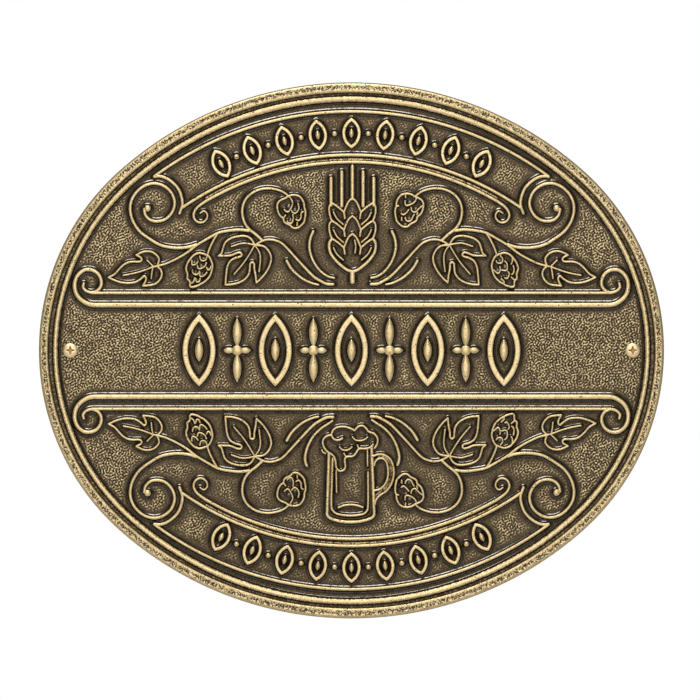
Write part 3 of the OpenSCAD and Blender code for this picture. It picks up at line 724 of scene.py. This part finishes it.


# Section of the rim from the back's edge: distance in, height above the ground, lift and grain
# The bead's flanks are part gold and grainy: mottled wiping, with painted light where its sides are
# lit.
RIM_SECTION = [
    (0.5, -GROUND_T, 0, 0), (0.15, -GROUND_T + 0.15, 0, 0), (0, -GROUND_T + 0.5, 0, 0),
    (0, -3.6, 0, 0.2), (0, -1.6, 0.02, 0.3), (0, 0.4, 0.3, 0.3), (0, 1.1, 0.45, 0.3),
    (0.04, 1.5, 0.6, 0.3), (0.14, 1.85, 0.72, 0.2), (0.35, 2.2, 0.9, 0.1), (0.6, 2.42, 1, 0),
    (0.9, 2.55, 1, 0.2), (1.2, BAND_H, 0.9, 0.6), (1.6, BAND_H - 0.08, 0.82, 1),
    (2.0, BAND_H - 0.22, 0.69, 1), (2.5, BAND_H - 0.24, 0.69, 1), (2.95, BAND_H - 0.12, 0.82, 0.9),
    (3.35, BAND_H, 0.93, 0.35), (3.75, 2.57, 0.9, 0.3), (4.05, 2.44, 0.84, 0.2),
    (4.25, 2.22, 0.72, 0.1), (4.42, 1.9, 0.45, 0), (4.55, 1.55, 0.2, 0.1), (4.75, 1.25, 0.04, 0.2),
    (5.05, 1.0, 0, 0.35), (5.4, GROOVE_H, 0, 0.4), (5.75, GROOVE_H, 0, 0.4), (6.05, 1.02, 0, 0.3),
    (6.3, 1.25, 0.1, 0.2), (6.5, 1.5, 0.35, 0.2), (6.68, 1.75, 0.54, 0.4), (6.95, 2.0, 0.68, 0.5),
    (7.3, 2.15, 0.86, 0.3), (7.75, BEAD_H, 1, 0), (8.2, 2.14, 1, 0), (8.55, 1.97, 0.8, 0.3),
    (8.85, 1.68, 0.66, 0.8), (9.05, 1.25, 0.58, 0.8), (9.2, 0.85, 0.48, 0.6),
    (9.45, 0.52, 0.25, 0), (9.8, 0.28, 0.12, 0), (10.2, 0.12, 0.05, 0), (10.7, 0.02, 0, 0),
    (11.1, -0.04, 0, 0), (11.2, -0.7, 0, 0)]
# How far in the bead's side runs out into the ground
BEAD_FOOT = 9.3
HOLE_SEGMENTS = 48
# How far a cutter reaches past what it cuts
PAST = 1
# The band and the bead are wider at the top and the bottom than at the ends: distances in, and
# by how much the section is drawn in there, at the ends, and at the top and the bottom
BEND_AT = (1.6, 4.4, 5.6, 6.6, 7.75, 9.1, 11.1)
END_BENDS = (0, -0.1, 0, 0, 0, 0, 0)
TOP_BENDS = (0, 0.5, 0.1, -0.15, 0, 0.35, 0)


def make_plate():
    """The casting's body, back and rim, with the two screw holes"""
    at_top = np.abs((oval_line(0) - oval_line(1))[:, 1])
    n = len(at_top)
    points, lift, grain = [], [], []
    for d, height, share, rough in RIM_SECTION:
        bends = [np.interp(d, BEND_AT, amounts) for amounts in (END_BENDS, TOP_BENDS)]
        line = oval_line(d + bends[0] + (bends[1] - bends[0]) * at_top)
        points.append(np.column_stack([line, np.full(n, GROUND_T + height)]))
        lift.append(np.full(n, share))
        grain.append(np.full(n, rough))
    index = np.arange(len(RIM_SECTION) * n).reshape(-1, n)
    faces = ring_faces(index).tolist() + [index[0][::-1].tolist(), index[-1].tolist()]
    plate = make_piece("plate", np.vstack(points), faces, lift=np.concatenate(lift),
                       grain=np.concatenate(grain))
    for x in (-SCREW_X, SCREW_X):
        cut(plate, lathe("hole_cutter", [
            (0, -PAST), (SINK_D / 2, -PAST), (SINK_D / 2, 0), (HOLE_D / 2, SINK_DEPTH),
            (HOLE_D / 2, GROUND_T + PAST), (0, GROUND_T + PAST)], HOLE_SEGMENTS, x))
    return plate


def capped(name, rings, low, high):
    """A closed skin through rings of points, from its lowest point to its highest"""
    index = np.arange(len(rings) * len(rings[0])).reshape(len(rings), -1)
    faces = ring_faces(index).tolist() + fan(index[0], index.size, flip=True).tolist() \
        + fan(index[-1], index.size + 1).tolist()
    return make_piece(name, np.vstack(rings + [[low, high]]), faces)


def turned_ring(x, r, height, segments):
    """Points around the line through x that faces the viewer. r is one radius, or one for each."""
    a = np.linspace(0, 2 * math.pi, segments, endpoint=False)
    return np.column_stack([x + r * np.cos(a), r * np.sin(a), np.full(segments, height)])


def lathe(name, profile, segments, x):
    """A solid of revolution from its profile of radii and heights"""
    rings = [turned_ring(x, r, height, segments) for r, height in profile[1:-1]]
    return capped(name, rings, [x, 0, profile[0][1]], [x, 0, profile[-1][1]])


def apply_modifiers(piece):
    evaluated = piece.evaluated_get(bpy.context.evaluated_depsgraph_get())
    mesh = bpy.data.meshes.new_from_object(evaluated)
    piece.modifiers.clear()
    piece.data = mesh


def cut(piece, cutter):
    """Takes the cutter's solid out of the piece"""
    boolean = piece.modifiers.new("cut", "BOOLEAN")
    boolean.operation = "DIFFERENCE"
    boolean.solver = "EXACT"
    boolean.object = cutter
    apply_modifiers(piece)
    bpy.data.objects.remove(cutter)


# The stipple: ripples of lengths between these two in mm, in every direction
STIPPLE_LENGTHS = (1.08, 1.58)
STIPPLE_WAVES = 90
STIPPLE_DEPTH = 0.16
# It grows from nothing to its full depth between these distances from the relief, and more slowly
# where the pattern is busy, which fades out between the two values of each pair.
OPEN_FROM = 1.4
OPEN_TO = 4.2
BUSY_OPEN_TO = 8.5
BUSY_X = (105, 75)
BUSY_Z = ((68, 52), (95, 66))
BUSY_BANNER_X = (97, 85)
BUSY_BANNER = 0.6
BUSY_FRIEZE_X = (92, 79)
BUSY_FRIEZE = 0.45
# The rim counts as this much further off.
RIM_OPENS = 1.1
# Share of its depth where it begins to grow
LEAST_OPEN = 0.08
# Thickness of the slab, and how far it lies under the bead and clear of the screw holes
SLAB_T = 1.2
UNDER_BEAD = 1.3
HOLE_CLEAR = 0.5


def stipple_at(x, z):
    """Bounded noise without a grain direction, from -1 to 1"""
    rng = np.random.default_rng(SEED)
    total = np.zeros_like(x)
    for length, a, phase in zip(rng.uniform(*STIPPLE_LENGTHS, STIPPLE_WAVES),
                                rng.uniform(0, math.pi, STIPPLE_WAVES),
                                rng.uniform(0, 2 * math.pi, STIPPLE_WAVES)):
        total += np.cos(2 * math.pi / length * (x * math.cos(a) + z * math.sin(a)) + phase)
    return np.tanh(total / math.sqrt(STIPPLE_WAVES / 2))


def fading(value, none, whole):
    """1 as far as whole on both sides of the middle, and 0 from none on"""
    return smooth(-np.abs(value), -none, -whole)


def openness(x, z):
    """How far each point lies from the relief and the rim, from 0 to 1"""
    samples = np.vstack(Relief.everything)
    tree = kdtree.KDTree(len(samples))
    for i, (sx, sz, half) in enumerate(samples):
        tree.insert((sx, sz, 0), i)
    tree.balance()
    near = np.empty(len(x))
    for i, (px, pz) in enumerate(zip(x.tolist(), z.tolist())):
        spot, which, distance = tree.find((px, pz, 0))
        near[i] = distance - samples[which, 2]
    near = np.minimum(near, rim_distance(x, z) - BEAD_FOOT + RIM_OPENS)
    none, whole = np.where(z[:, None] > 0, *BUSY_Z).T
    busy = fading(x, *BUSY_X) * fading(z, none, whole)
    out = np.abs(np.hypot(x, np.abs(z) - BANNER_MID_Z + BANNER_MID_R) - BANNER_MID_R)
    in_banner = out < (BANNER_OUT[0] - BANNER_IN[0]) / 2
    busy = np.where(in_banner, BUSY_BANNER * fading(x, *BUSY_BANNER_X), busy)
    busy = np.where(np.abs(z) < RAIL_Z, BUSY_FRIEZE * fading(x, *BUSY_FRIEZE_X), busy)
    full = OPEN_TO + (BUSY_OPEN_TO - OPEN_TO) * busy
    return np.maximum(smooth(near, OPEN_FROM, full), LEAST_OPEN * smooth(near, 0, OPEN_FROM))


def make_ground(name, sx, sz):
    """A quarter of the stippled ground, as a slab whose edge lies under the bead"""
    gx, gz = np.meshgrid(np.arange(int(HALF_W / GROUND_STEP) + 1) * GROUND_STEP * sx,
                         np.arange(int(HALF_H / GROUND_STEP) + 1) * GROUND_STEP * sz)
    mid_x = (gx[:-1, :-1] + gx[1:, 1:]) / 2
    mid_z = (gz[:-1, :-1] + gz[1:, 1:]) / 2
    keep = (rim_distance(mid_x, mid_z) > BEAD_FOOT - UNDER_BEAD) \
        & (np.hypot(np.abs(mid_x) - SCREW_X, mid_z) > HOLE_D / 2 + HOLE_CLEAR)
    index = np.arange(gx.size).reshape(gx.shape)
    quads = np.stack([index[:-1, :-1], index[:-1, 1:], index[1:, 1:], index[1:, :-1]], -1)[keep]
    if sx * sz < 0:
        quads = quads[:, ::-1]
    used, quads = np.unique(quads, return_inverse=True)
    quads = quads.reshape(-1, 4)
    x, z = gx.ravel()[used], gz.ravel()[used]
    opened, wave = openness(x, z), stipple_at(x, z)
    top = np.column_stack([x, z, GROUND_T + STIPPLE_DEPTH * wave * opened])
    edges = np.vstack([quads[:, [i, (i + 1) % 4]] for i in range(4)])
    pairs, inverse, counts = np.unique(np.sort(edges, 1), axis=0, return_inverse=True,
                                       return_counts=True)
    follows = dict(edges[counts[inverse.ravel()] == 1].tolist())
    loop = [next(iter(follows))]
    while follows[loop[-1]] != loop[0]:
        loop.append(follows[loop[-1]])
    n, m = len(x), len(loop)
    bottom = np.column_stack([x[loop], z[loop], np.full(m, GROUND_T - SLAB_T)])
    walls = [[loop[(i + 1) % m], loop[i], n + i, n + (i + 1) % m] for i in range(m)]
    faces = quads.tolist() + walls + [[n + i for i in range(m)][::-1]]
    return make_piece(name, np.vstack([top, bottom]), faces, lift=np.zeros(n + m),
                      grain=np.concatenate([opened, np.zeros(m)]),
                      stipple=np.concatenate([wave, np.zeros(m)]))


# The usual range of a noise
USUAL = (0.3, 0.7)


class Shader:
    """Short calls for building the nodes of a material or of the world"""

    def __init__(self, owner, output="OutputMaterial"):
        self.owner = owner
        owner.use_nodes = True
        self.tree = owner.node_tree
        self.tree.nodes.clear()
        self.output = self.node(output)

    def node(self, kind, inputs=None, **settings):
        made = self.tree.nodes.new("ShaderNode" + kind)
        for key, value in settings.items():
            setattr(made, key, value)
        for key, value in (inputs or {}).items():
            if isinstance(value, bpy.types.NodeSocket):
                self.tree.links.new(value, made.inputs[key])
            else:
                made.inputs[key].default_value = value
        return made

    def attribute(self, name):
        return self.node("Attribute", attribute_name=name).outputs["Fac"]

    def place(self):
        return self.node("TexCoord").outputs["Object"]

    def noise(self, scale, detail=2.0, roughness=0.5):
        return self.node("TexNoise", {"Vector": self.place(), "Scale": scale, "Detail": detail,
                                      "Roughness": roughness}).outputs["Fac"]

    def math(self, operation, a, b):
        return self.node("Math", {0: a, 1: b}, operation=operation).outputs[0]

    def plus(self, a, b):
        return self.math("ADD", a, b)

    def times(self, a, b):
        return self.math("MULTIPLY", a, b)

    def span(self, value, low, high, to_low=0.0, to_high=1.0, how="SMOOTHSTEP"):
        """The value's range low to high, mapped to another"""
        return self.node("MapRange", {"Value": value, "From Min": low, "From Max": high,
                                      "To Min": to_low, "To Max": to_high},
                         interpolation_type=how).outputs["Result"]

    def spread(self, noise, low, high):
        """A noise's usual range, spread evenly from low to high"""
        return self.span(noise, *USUAL, low, high, "LINEAR")

    def mix(self, share, a, b):
        """Two colours, with this share of the second"""
        a, b = (c if isinstance(c, bpy.types.NodeSocket) else (*c, 1) for c in (a, b))
        return self.node("Mix", {0: share, 6: a, 7: b}, data_type="RGBA").outputs[2]

    def finish(self, inputs, bumps=()):
        """Bumps are pairs of a height and its depth in mm"""
        normal = {}
        for height, depth in bumps:
            bump = self.node("Bump", {"Height": height, "Distance": depth * MM, "Strength": 1.0,
                                      **normal})
            normal = {"Normal": bump.outputs["Normal"]}
        surface = self.node("BsdfPrincipled", {**inputs, **normal})
        self.tree.links.new(surface.outputs[0], self.output.inputs["Surface"])
        return self.owner


def new_material(name):
    return Shader(bpy.data.materials.new(name))


# Colours of the brass, from its gold to its darkest lacquer
GOLD = (0.69, 0.54, 0.28)
PALE_GOLD = (0.83, 0.685, 0.42)
DEEP_GOLD = (0.48, 0.37, 0.185)
WORM_GOLD = (0.71, 0.58, 0.345)
BROWN = (0.046, 0.0315, 0.018)
PALE_BROWN = (0.076, 0.055, 0.034)
RUBBED_BROWN = (0.130, 0.1015, 0.068)
PORE = (0.016, 0.010, 0.007)
CONTOUR = (0.008, 0.005, 0.002)
# Tint of its highlights
WARM = (1.0, 0.80, 0.55, 1.0)
# Its noises and pits, in cells per metre
FINE = 2200
GRIT = 1280
BLOTCH = 620
MIDDLE = 520
PIT_PATCH = 260
PATCH = 170
CLOUD = 55
PIT_CELLS = 620
# Shares of the relief's height: the contour ends, lacquer pools from and to, and gold begins
CONTOUR_LIFT = (0.0, 0.1)
POOL_FROM = (0.07, 0.1)
POOL_TO = (0.22, 0.3)
GOLD_LIFT = (0.56, 0.74)
GOLD_METAL = 0.85
WORM_METAL = 0.7
LACQUER_ROUGH = 0.36
GOLD_ROUGH = 0.42
# Depths of its bumps in mm
PEBBLE_DEPTH = 0.2
PIT_DEPTH = 0.12


def antique_brass():
    """Wiped gold on what stands up, dark lacquer in the recesses, and gold worms on the stipple"""
    s = new_material("antique_brass")
    lift, grain, wave = s.attribute("lift"), s.attribute("grain"), s.attribute("stipple")
    fine = s.noise(FINE, 2, 0.6)
    grit = s.noise(GRIT, 1)
    middle = s.noise(MIDDLE)
    patch = s.noise(PATCH, 1)
    cloud = s.noise(CLOUD)
    edge = s.plus(lift, s.spread(fine, -0.09, 0.09))
    edge = s.plus(edge, s.spread(middle, -0.05, 0.05))
    gold_share = s.span(edge, *GOLD_LIFT)
    recess = s.span(s.plus(lift, s.spread(fine, -0.02, 0.02)), *CONTOUR_LIFT)
    # Ground: brown lacquer, with gold where the stipple stands up and dark pores beside it
    rough_wave = s.plus(s.times(wave, 0.8), s.span(grit, 0.34, 0.66, -0.45, 0.45, "LINEAR"))
    rough_wave = s.plus(rough_wave, s.spread(patch, -0.12, 0.08))
    worm = s.times(s.span(rough_wave, 0.0, 0.6), grain)
    pore = s.times(s.span(rough_wave, -0.65, -0.1, 1.0, 0.0), grain)
    ground = s.mix(s.span(cloud, *USUAL), BROWN, PALE_BROWN)
    ground = s.mix(s.times(s.span(grit, 0.44, 0.68), 0.6), ground, RUBBED_BROWN)
    ground = s.mix(s.times(s.span(fine, 0.5, 0.68), 0.65), ground, RUBBED_BROWN)
    ground = s.mix(s.times(grain, 0.8), ground, RUBBED_BROWN)
    ground = s.mix(s.times(pore, 0.9), ground, PORE)
    ground = s.mix(worm, ground, WORM_GOLD)
    ground = s.mix(recess, ground, CONTOUR)
    # Gold, with dark pits, more of them where it is grainy
    pits = s.node("TexVoronoi", {"Vector": s.place(), "Scale": PIT_CELLS, "Randomness": 1.0},
                  feature="F1")
    pit = s.span(pits.outputs["Distance"], 0.10, 0.26, 1.0, 0.0)
    pit = s.times(pit, s.span(s.noise(PIT_PATCH, 1), 0.42, 0.6))
    pit = s.math("MAXIMUM", pit, s.times(s.span(grit, 0.45, 0.51, 1.0, 0.0), grain))
    gold = s.mix(s.span(middle, *USUAL), GOLD, PALE_GOLD)
    gold = s.mix(s.times(s.span(fine, 0.48, 0.66), 0.55), gold, DEEP_GOLD)
    gold = s.mix(s.times(s.span(cloud, 0.35, 0.7), 0.25), gold, DEEP_GOLD)
    gold = s.mix(s.times(pit, 0.96), gold, PORE)
    metal = s.math("MAXIMUM", s.times(gold_share, GOLD_METAL), s.times(worm, WORM_METAL))
    rough = s.span(gold_share, 0, 1, LACQUER_ROUGH, GOLD_ROUGH, "LINEAR")
    rough = s.plus(rough, s.spread(fine, -0.05, 0.07))
    # The lacquer has pooled in the fillets beside the relief, and is thin elsewhere.
    pooled = s.times(s.span(lift, *POOL_FROM), s.span(lift, *POOL_TO, 1.0, 0.0))
    pooled = s.times(pooled, s.span(s.noise(BLOTCH, 1), 0.32, 0.52, 0.35, 1.0))
    pooled = s.math("MAXIMUM", pooled, s.times(gold_share, 0.25))
    pebbles = s.times(grit, s.plus(grain, 0.08))
    return s.finish(
        {"Base Color": s.mix(gold_share, ground, gold), "Metallic": metal, "Roughness": rough,
         "Specular IOR Level": 0.14, "Specular Tint": WARM, "Coat Weight": pooled,
         "Coat Roughness": 0.19, "Coat IOR": 1.9},
        [(pebbles, PEBBLE_DEPTH), (s.times(pit, -1), PIT_DEPTH)])


SCREW_BRASS = (0.80, 0.66, 0.42)
PALE_SCREW_BRASS = (0.88, 0.77, 0.54)
# Darker, more orange brass in the cross recess
RECESS_ORANGE = (0.66, 0.43, 0.13)
NYLON = (0.46, 0.46, 0.44)
PALE_NYLON = (0.53, 0.53, 0.51)
CAST = (0.20, 0.165, 0.12)
PALE_CAST = (0.34, 0.29, 0.22)
CAST_LACQUER = (0.115, 0.085, 0.055)


def screw_brass():
    """Turned brass, darker and more orange in the cross recess"""
    s = new_material("screw_brass")
    turned = s.noise(900, 3, 0.6)
    # The cross recess is coloured darker, more orange brass.
    in_recess = s.span(s.attribute("recess"), 0.0, 1.0)
    colour = s.mix(in_recess, s.mix(s.span(turned, *USUAL), SCREW_BRASS, PALE_SCREW_BRASS), RECESS_ORANGE)
    rough = s.plus(s.spread(turned, 0.40, 0.52), s.times(in_recess, 0.2))
    return s.finish({"Base Color": colour, "Metallic": 1.0, "Roughness": rough},
                    [(turned, 0.02)])


def plug_nylon():
    """Grey nylon with faint flow marks"""
    s = new_material("plug_nylon")
    fine = s.noise(2500)
    colour = s.mix(s.span(s.noise(300, 3), *USUAL), NYLON, PALE_NYLON)
    return s.finish({"Base Color": colour, "Roughness": s.spread(fine, 0.48, 0.62),
                     "Subsurface Weight": 0.05, "Subsurface Scale": MM}, [(fine, 0.02)])


def cast_back():
    """Rough cast metal with a mist of brown lacquer"""
    s = new_material("cast_back")
    sand = s.noise(900, 4, 0.65)
    colour = s.mix(s.span(sand, *USUAL), CAST, PALE_CAST)
    colour = s.mix(s.span(s.noise(40, 3), 0.3, 0.75, 0.0, 0.6), colour, CAST_LACQUER)
    rough = s.spread(sand, 0.5, 0.72)
    return s.finish({"Base Color": colour, "Metallic": 0.45, "Roughness": rough}, [(sand, 0.25)])


# Screws
HEAD_D = 7.2
HEAD_H = 2.2
HEAD_SEGMENTS = 96
SCREW_D = 3.5
SCREW_LEN = 32
# How far the shank reaches up into the head
SHANK_IN = 0.3
TIP_LEN = 5.6
TIP_SHARE = 0.03
THREAD_PITCH = 1.35
THREAD_DEPTH = 0.5
# Half of the ridge's width as a share of the pitch
RIDGE = 0.28
THREAD_SEGMENTS = 32
RINGS_PER_TURN = 10
# Cross: size, radius of its inner corners, how far its shoulders are back, angle between them and
# the tip, depth, its scales at the top and the bottom, and how far its cutter stands out
CROSS_SIZE = 4.9
CROSS_CORNER_R = 0.9
CROSS_SHOULDER = 0.25
CROSS_TIP_A = 7
CROSS_DEPTH = 1.3
CROSS_SCALES = (1.12, 0.42)
CROSS_ABOVE = 0.4
# The recess colour begins this far above the ground, this far under the dome and within this
# radius.
RECESS_COLOUR_FROM = 0.35
UNDER_DOME = 0.1
RECESS_COLOUR_R = HEAD_D / 2 - 0.8
# Pan head, from under its middle to its top: radius and height above the ground
HEAD_PROFILE = [
    (0, -0.1), (3.1, -0.1), (3.5, 0), (3.6, 0.15), (3.6, 1.15), (3.57, 1.35), (3.47, 1.52),
    (3.28, 1.68), (2.95, 1.83), (2.5, 1.95), (1.9, 2.07), (1.2, 2.15), (0.5, 2.19), (0, HEAD_H)]


def cross_cutter(x):
    """Four-pointed cross that narrows as it goes in"""
    tip, top = CROSS_SIZE / 2, GROUND_T + HEAD_H
    shoulder = tip - CROSS_SHOULDER
    arm = ((tip, 0), (shoulder, CROSS_TIP_A), (CROSS_CORNER_R, 45), (shoulder, 90 - CROSS_TIP_A))
    points = []
    for scale, height in zip(CROSS_SCALES, (top + CROSS_ABOVE, top - CROSS_DEPTH)):
        for turn in range(0, 360, 90):
            for r, a in arm:
                a = math.radians(turn + a)
                points.append([x + scale * r * math.cos(a), scale * r * math.sin(a), height])
    n = len(points) // 2
    sides = [((i + 1) % n, i, n + i, n + (i + 1) % n) for i in range(n)]
    return make_piece("cross_cutter", points, sides + [range(n), range(2 * n - 1, n - 1, -1)],
                      shade_smooth=False)


def make_screw(name, x):
    """Domed head with a cross recess, and a shank with a turned thread"""
    head = lathe(name, [(r, GROUND_T + height) for r, height in HEAD_PROFILE], HEAD_SEGMENTS, x)
    cut(head, cross_cutter(x))
    around = np.linspace(0, 1, THREAD_SEGMENTS, endpoint=False)
    rings = []
    for share in np.linspace(1, 0, int(SCREW_LEN / THREAD_PITCH * RINGS_PER_TURN) + 1):
        down = share * SCREW_LEN
        taper = min(1, (SCREW_LEN - down) / TIP_LEN * (1 - TIP_SHARE) + TIP_SHARE)
        phase = (down / THREAD_PITCH - around) % 1
        ridge = np.clip(1 - np.abs(phase - 0.5) / RIDGE, 0, 1)
        r = (SCREW_D / 2 - THREAD_DEPTH * (1 - ridge)) * taper
        height = GROUND_T + SHANK_IN - share * (SCREW_LEN + SHANK_IN)
        rings.append(turned_ring(x, r, height, THREAD_SEGMENTS))
    shank = capped("shank", rings, [x, 0, GROUND_T - SCREW_LEN], [x, 0, GROUND_T + SHANK_IN])
    return joined(head, shank)


def joined(piece, other):
    """One object of two meshes"""
    with bpy.context.temp_override(active_object=piece, object=piece,
                                   selected_objects=[piece, other],
                                   selected_editable_objects=[piece, other]):
        bpy.ops.object.join()
    return piece


def mark_recess(screw, x):
    """A value of 1 in the cross recess, for its darker orange colour"""
    dome_r, dome_height = zip(*HEAD_PROFILE[:2:-1])
    layer = screw.data.attributes.new("recess", "FLOAT", "POINT")
    for vertex, out in zip(screw.data.vertices, layer.data):
        height = -vertex.co.y / MM - GROUND_T
        r = math.hypot(vertex.co.x / MM - x, vertex.co.z / MM)
        highest = np.interp(r, dome_r, dome_height) - UNDER_DOME
        out.value = float(RECESS_COLOUR_FROM < height < highest and r < RECESS_COLOUR_R)


# Camera and lights, in metres: place, size, watts and colour
VIEW_W = 0.33432
CAMERA_AT = (-0.00070, -1.5, 0.00020)
KEY_LIGHT = ((-0.1, -0.75, 0.95), (0.7, 0.3), 8.9, (1, 0.94, 0.83))
FRONT_LIGHT = ((0, -1.5, 0.25), (0.9, 0.6), 5.45, (1, 0.96, 0.89))
WHITE = (1, 1, 1, 1)
WORLD_COLOUR = (1, 0.94, 0.84, 1)
WORLD_STRENGTH = 0.20
# Floor, in mm, and its colours
FLOOR_REACH = 3000
FLOOR_Z = -200
FLOOR_GREY = (0.84, 0.84, 0.83)
PALE_FLOOR_GREY = (0.87, 0.87, 0.86)


def light(name, at, size, energy, colour):
    """Area light that faces the plaque"""
    data = bpy.data.lights.new(name, "AREA")
    data.shape = "RECTANGLE"
    data.size, data.size_y = size
    data.energy = energy
    data.color = colour
    lamp = bpy.data.objects.new(name, data)
    lamp.location = at
    lamp.rotation_euler = (-Vector(at)).to_track_quat("-Z", "Y").to_euler()
    lamp.visible_camera = False
    bpy.context.scene.collection.objects.link(lamp)


def studio():
    scene = bpy.context.scene
    scene.view_settings.view_transform = "Standard"
    camera = bpy.data.objects.new("camera", bpy.data.cameras.new("camera"))
    camera.data.type = "ORTHO"
    camera.data.ortho_scale = VIEW_W
    camera.location = CAMERA_AT
    camera.rotation_euler = (math.pi / 2, 0, 0)
    scene.collection.objects.link(camera)
    scene.camera = camera

    # The world is white to look at, and lights the plaque less.
    world = Shader(bpy.data.worlds.new("studio"), "OutputWorld")
    seen = world.node("Background", {"Color": WHITE})
    lit = world.node("Background", {"Color": WORLD_COLOUR, "Strength": WORLD_STRENGTH})
    looked_at = world.node("LightPath").outputs["Is Camera Ray"]
    both = world.node("MixShader", {0: looked_at, 1: lit.outputs[0], 2: seen.outputs[0]})
    world.tree.links.new(both.outputs[0], world.output.inputs["Surface"])
    scene.world = world.owner
    light("key", *KEY_LIGHT)
    light("front", *FRONT_LIGHT)

    s = new_material("floor")
    colour = s.mix(s.span(s.noise(30), *USUAL), FLOOR_GREY, PALE_FLOOR_GREY)
    corners = [(FLOOR_REACH * sx, FLOOR_Z, -FLOOR_REACH * sy)
               for sx, sy in ((-1, -1), (1, -1), (1, 1), (-1, 1))]
    floor = make_piece("floor", corners, [range(4)], shade_smooth=False)
    floor.data.materials.append(s.finish({"Base Color": colour, "Roughness": 0.8}))


# The plate's faces that turn this much to the wall have the finish of its back.
BACK_FACING = 0.7


def coat(piece, material):
    """Gives the piece this material alone"""
    piece.data.materials.clear()
    piece.data.materials.append(material)


def main():
    brass = antique_brass()
    pieces = [make().finish() for make in (
        make_bars, make_banners, make_banner_pieces, make_scrolls, make_tendrils, make_leaves,
        make_cones, make_wheat_ear, make_mug, make_frieze)]
    pieces += [make_ground(f"ground_{level}_{side}", sx, sz)
               for level, sz in (("upper", 1), ("lower", -1))
               for side, sx in (("right", 1), ("left", -1))]
    plate = make_plate()
    for piece in pieces + [plate]:
        coat(piece, brass)
        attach(piece, "root")
        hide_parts("casting")
    plate.data.materials.append(cast_back())
    for polygon in plate.data.polygons:
        if polygon.normal.y > BACK_FACING:
            polygon.material_index = 1
            polygon.use_smooth = False

    screw_metal = screw_brass()
    for side, x in (("left", -SCREW_X), ("right", SCREW_X)):
        screw = make_screw(f"threaded_screw_{side}", x)
        mark_recess(screw, x)
        coat(screw, screw_metal)
        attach(screw, "root")
        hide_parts(f"screw_{side}")
    nylon = plug_nylon()
    for side in ("left", "right"):
        coat(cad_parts[f"wall_plug_{side}"], nylon)
    studio()


main()
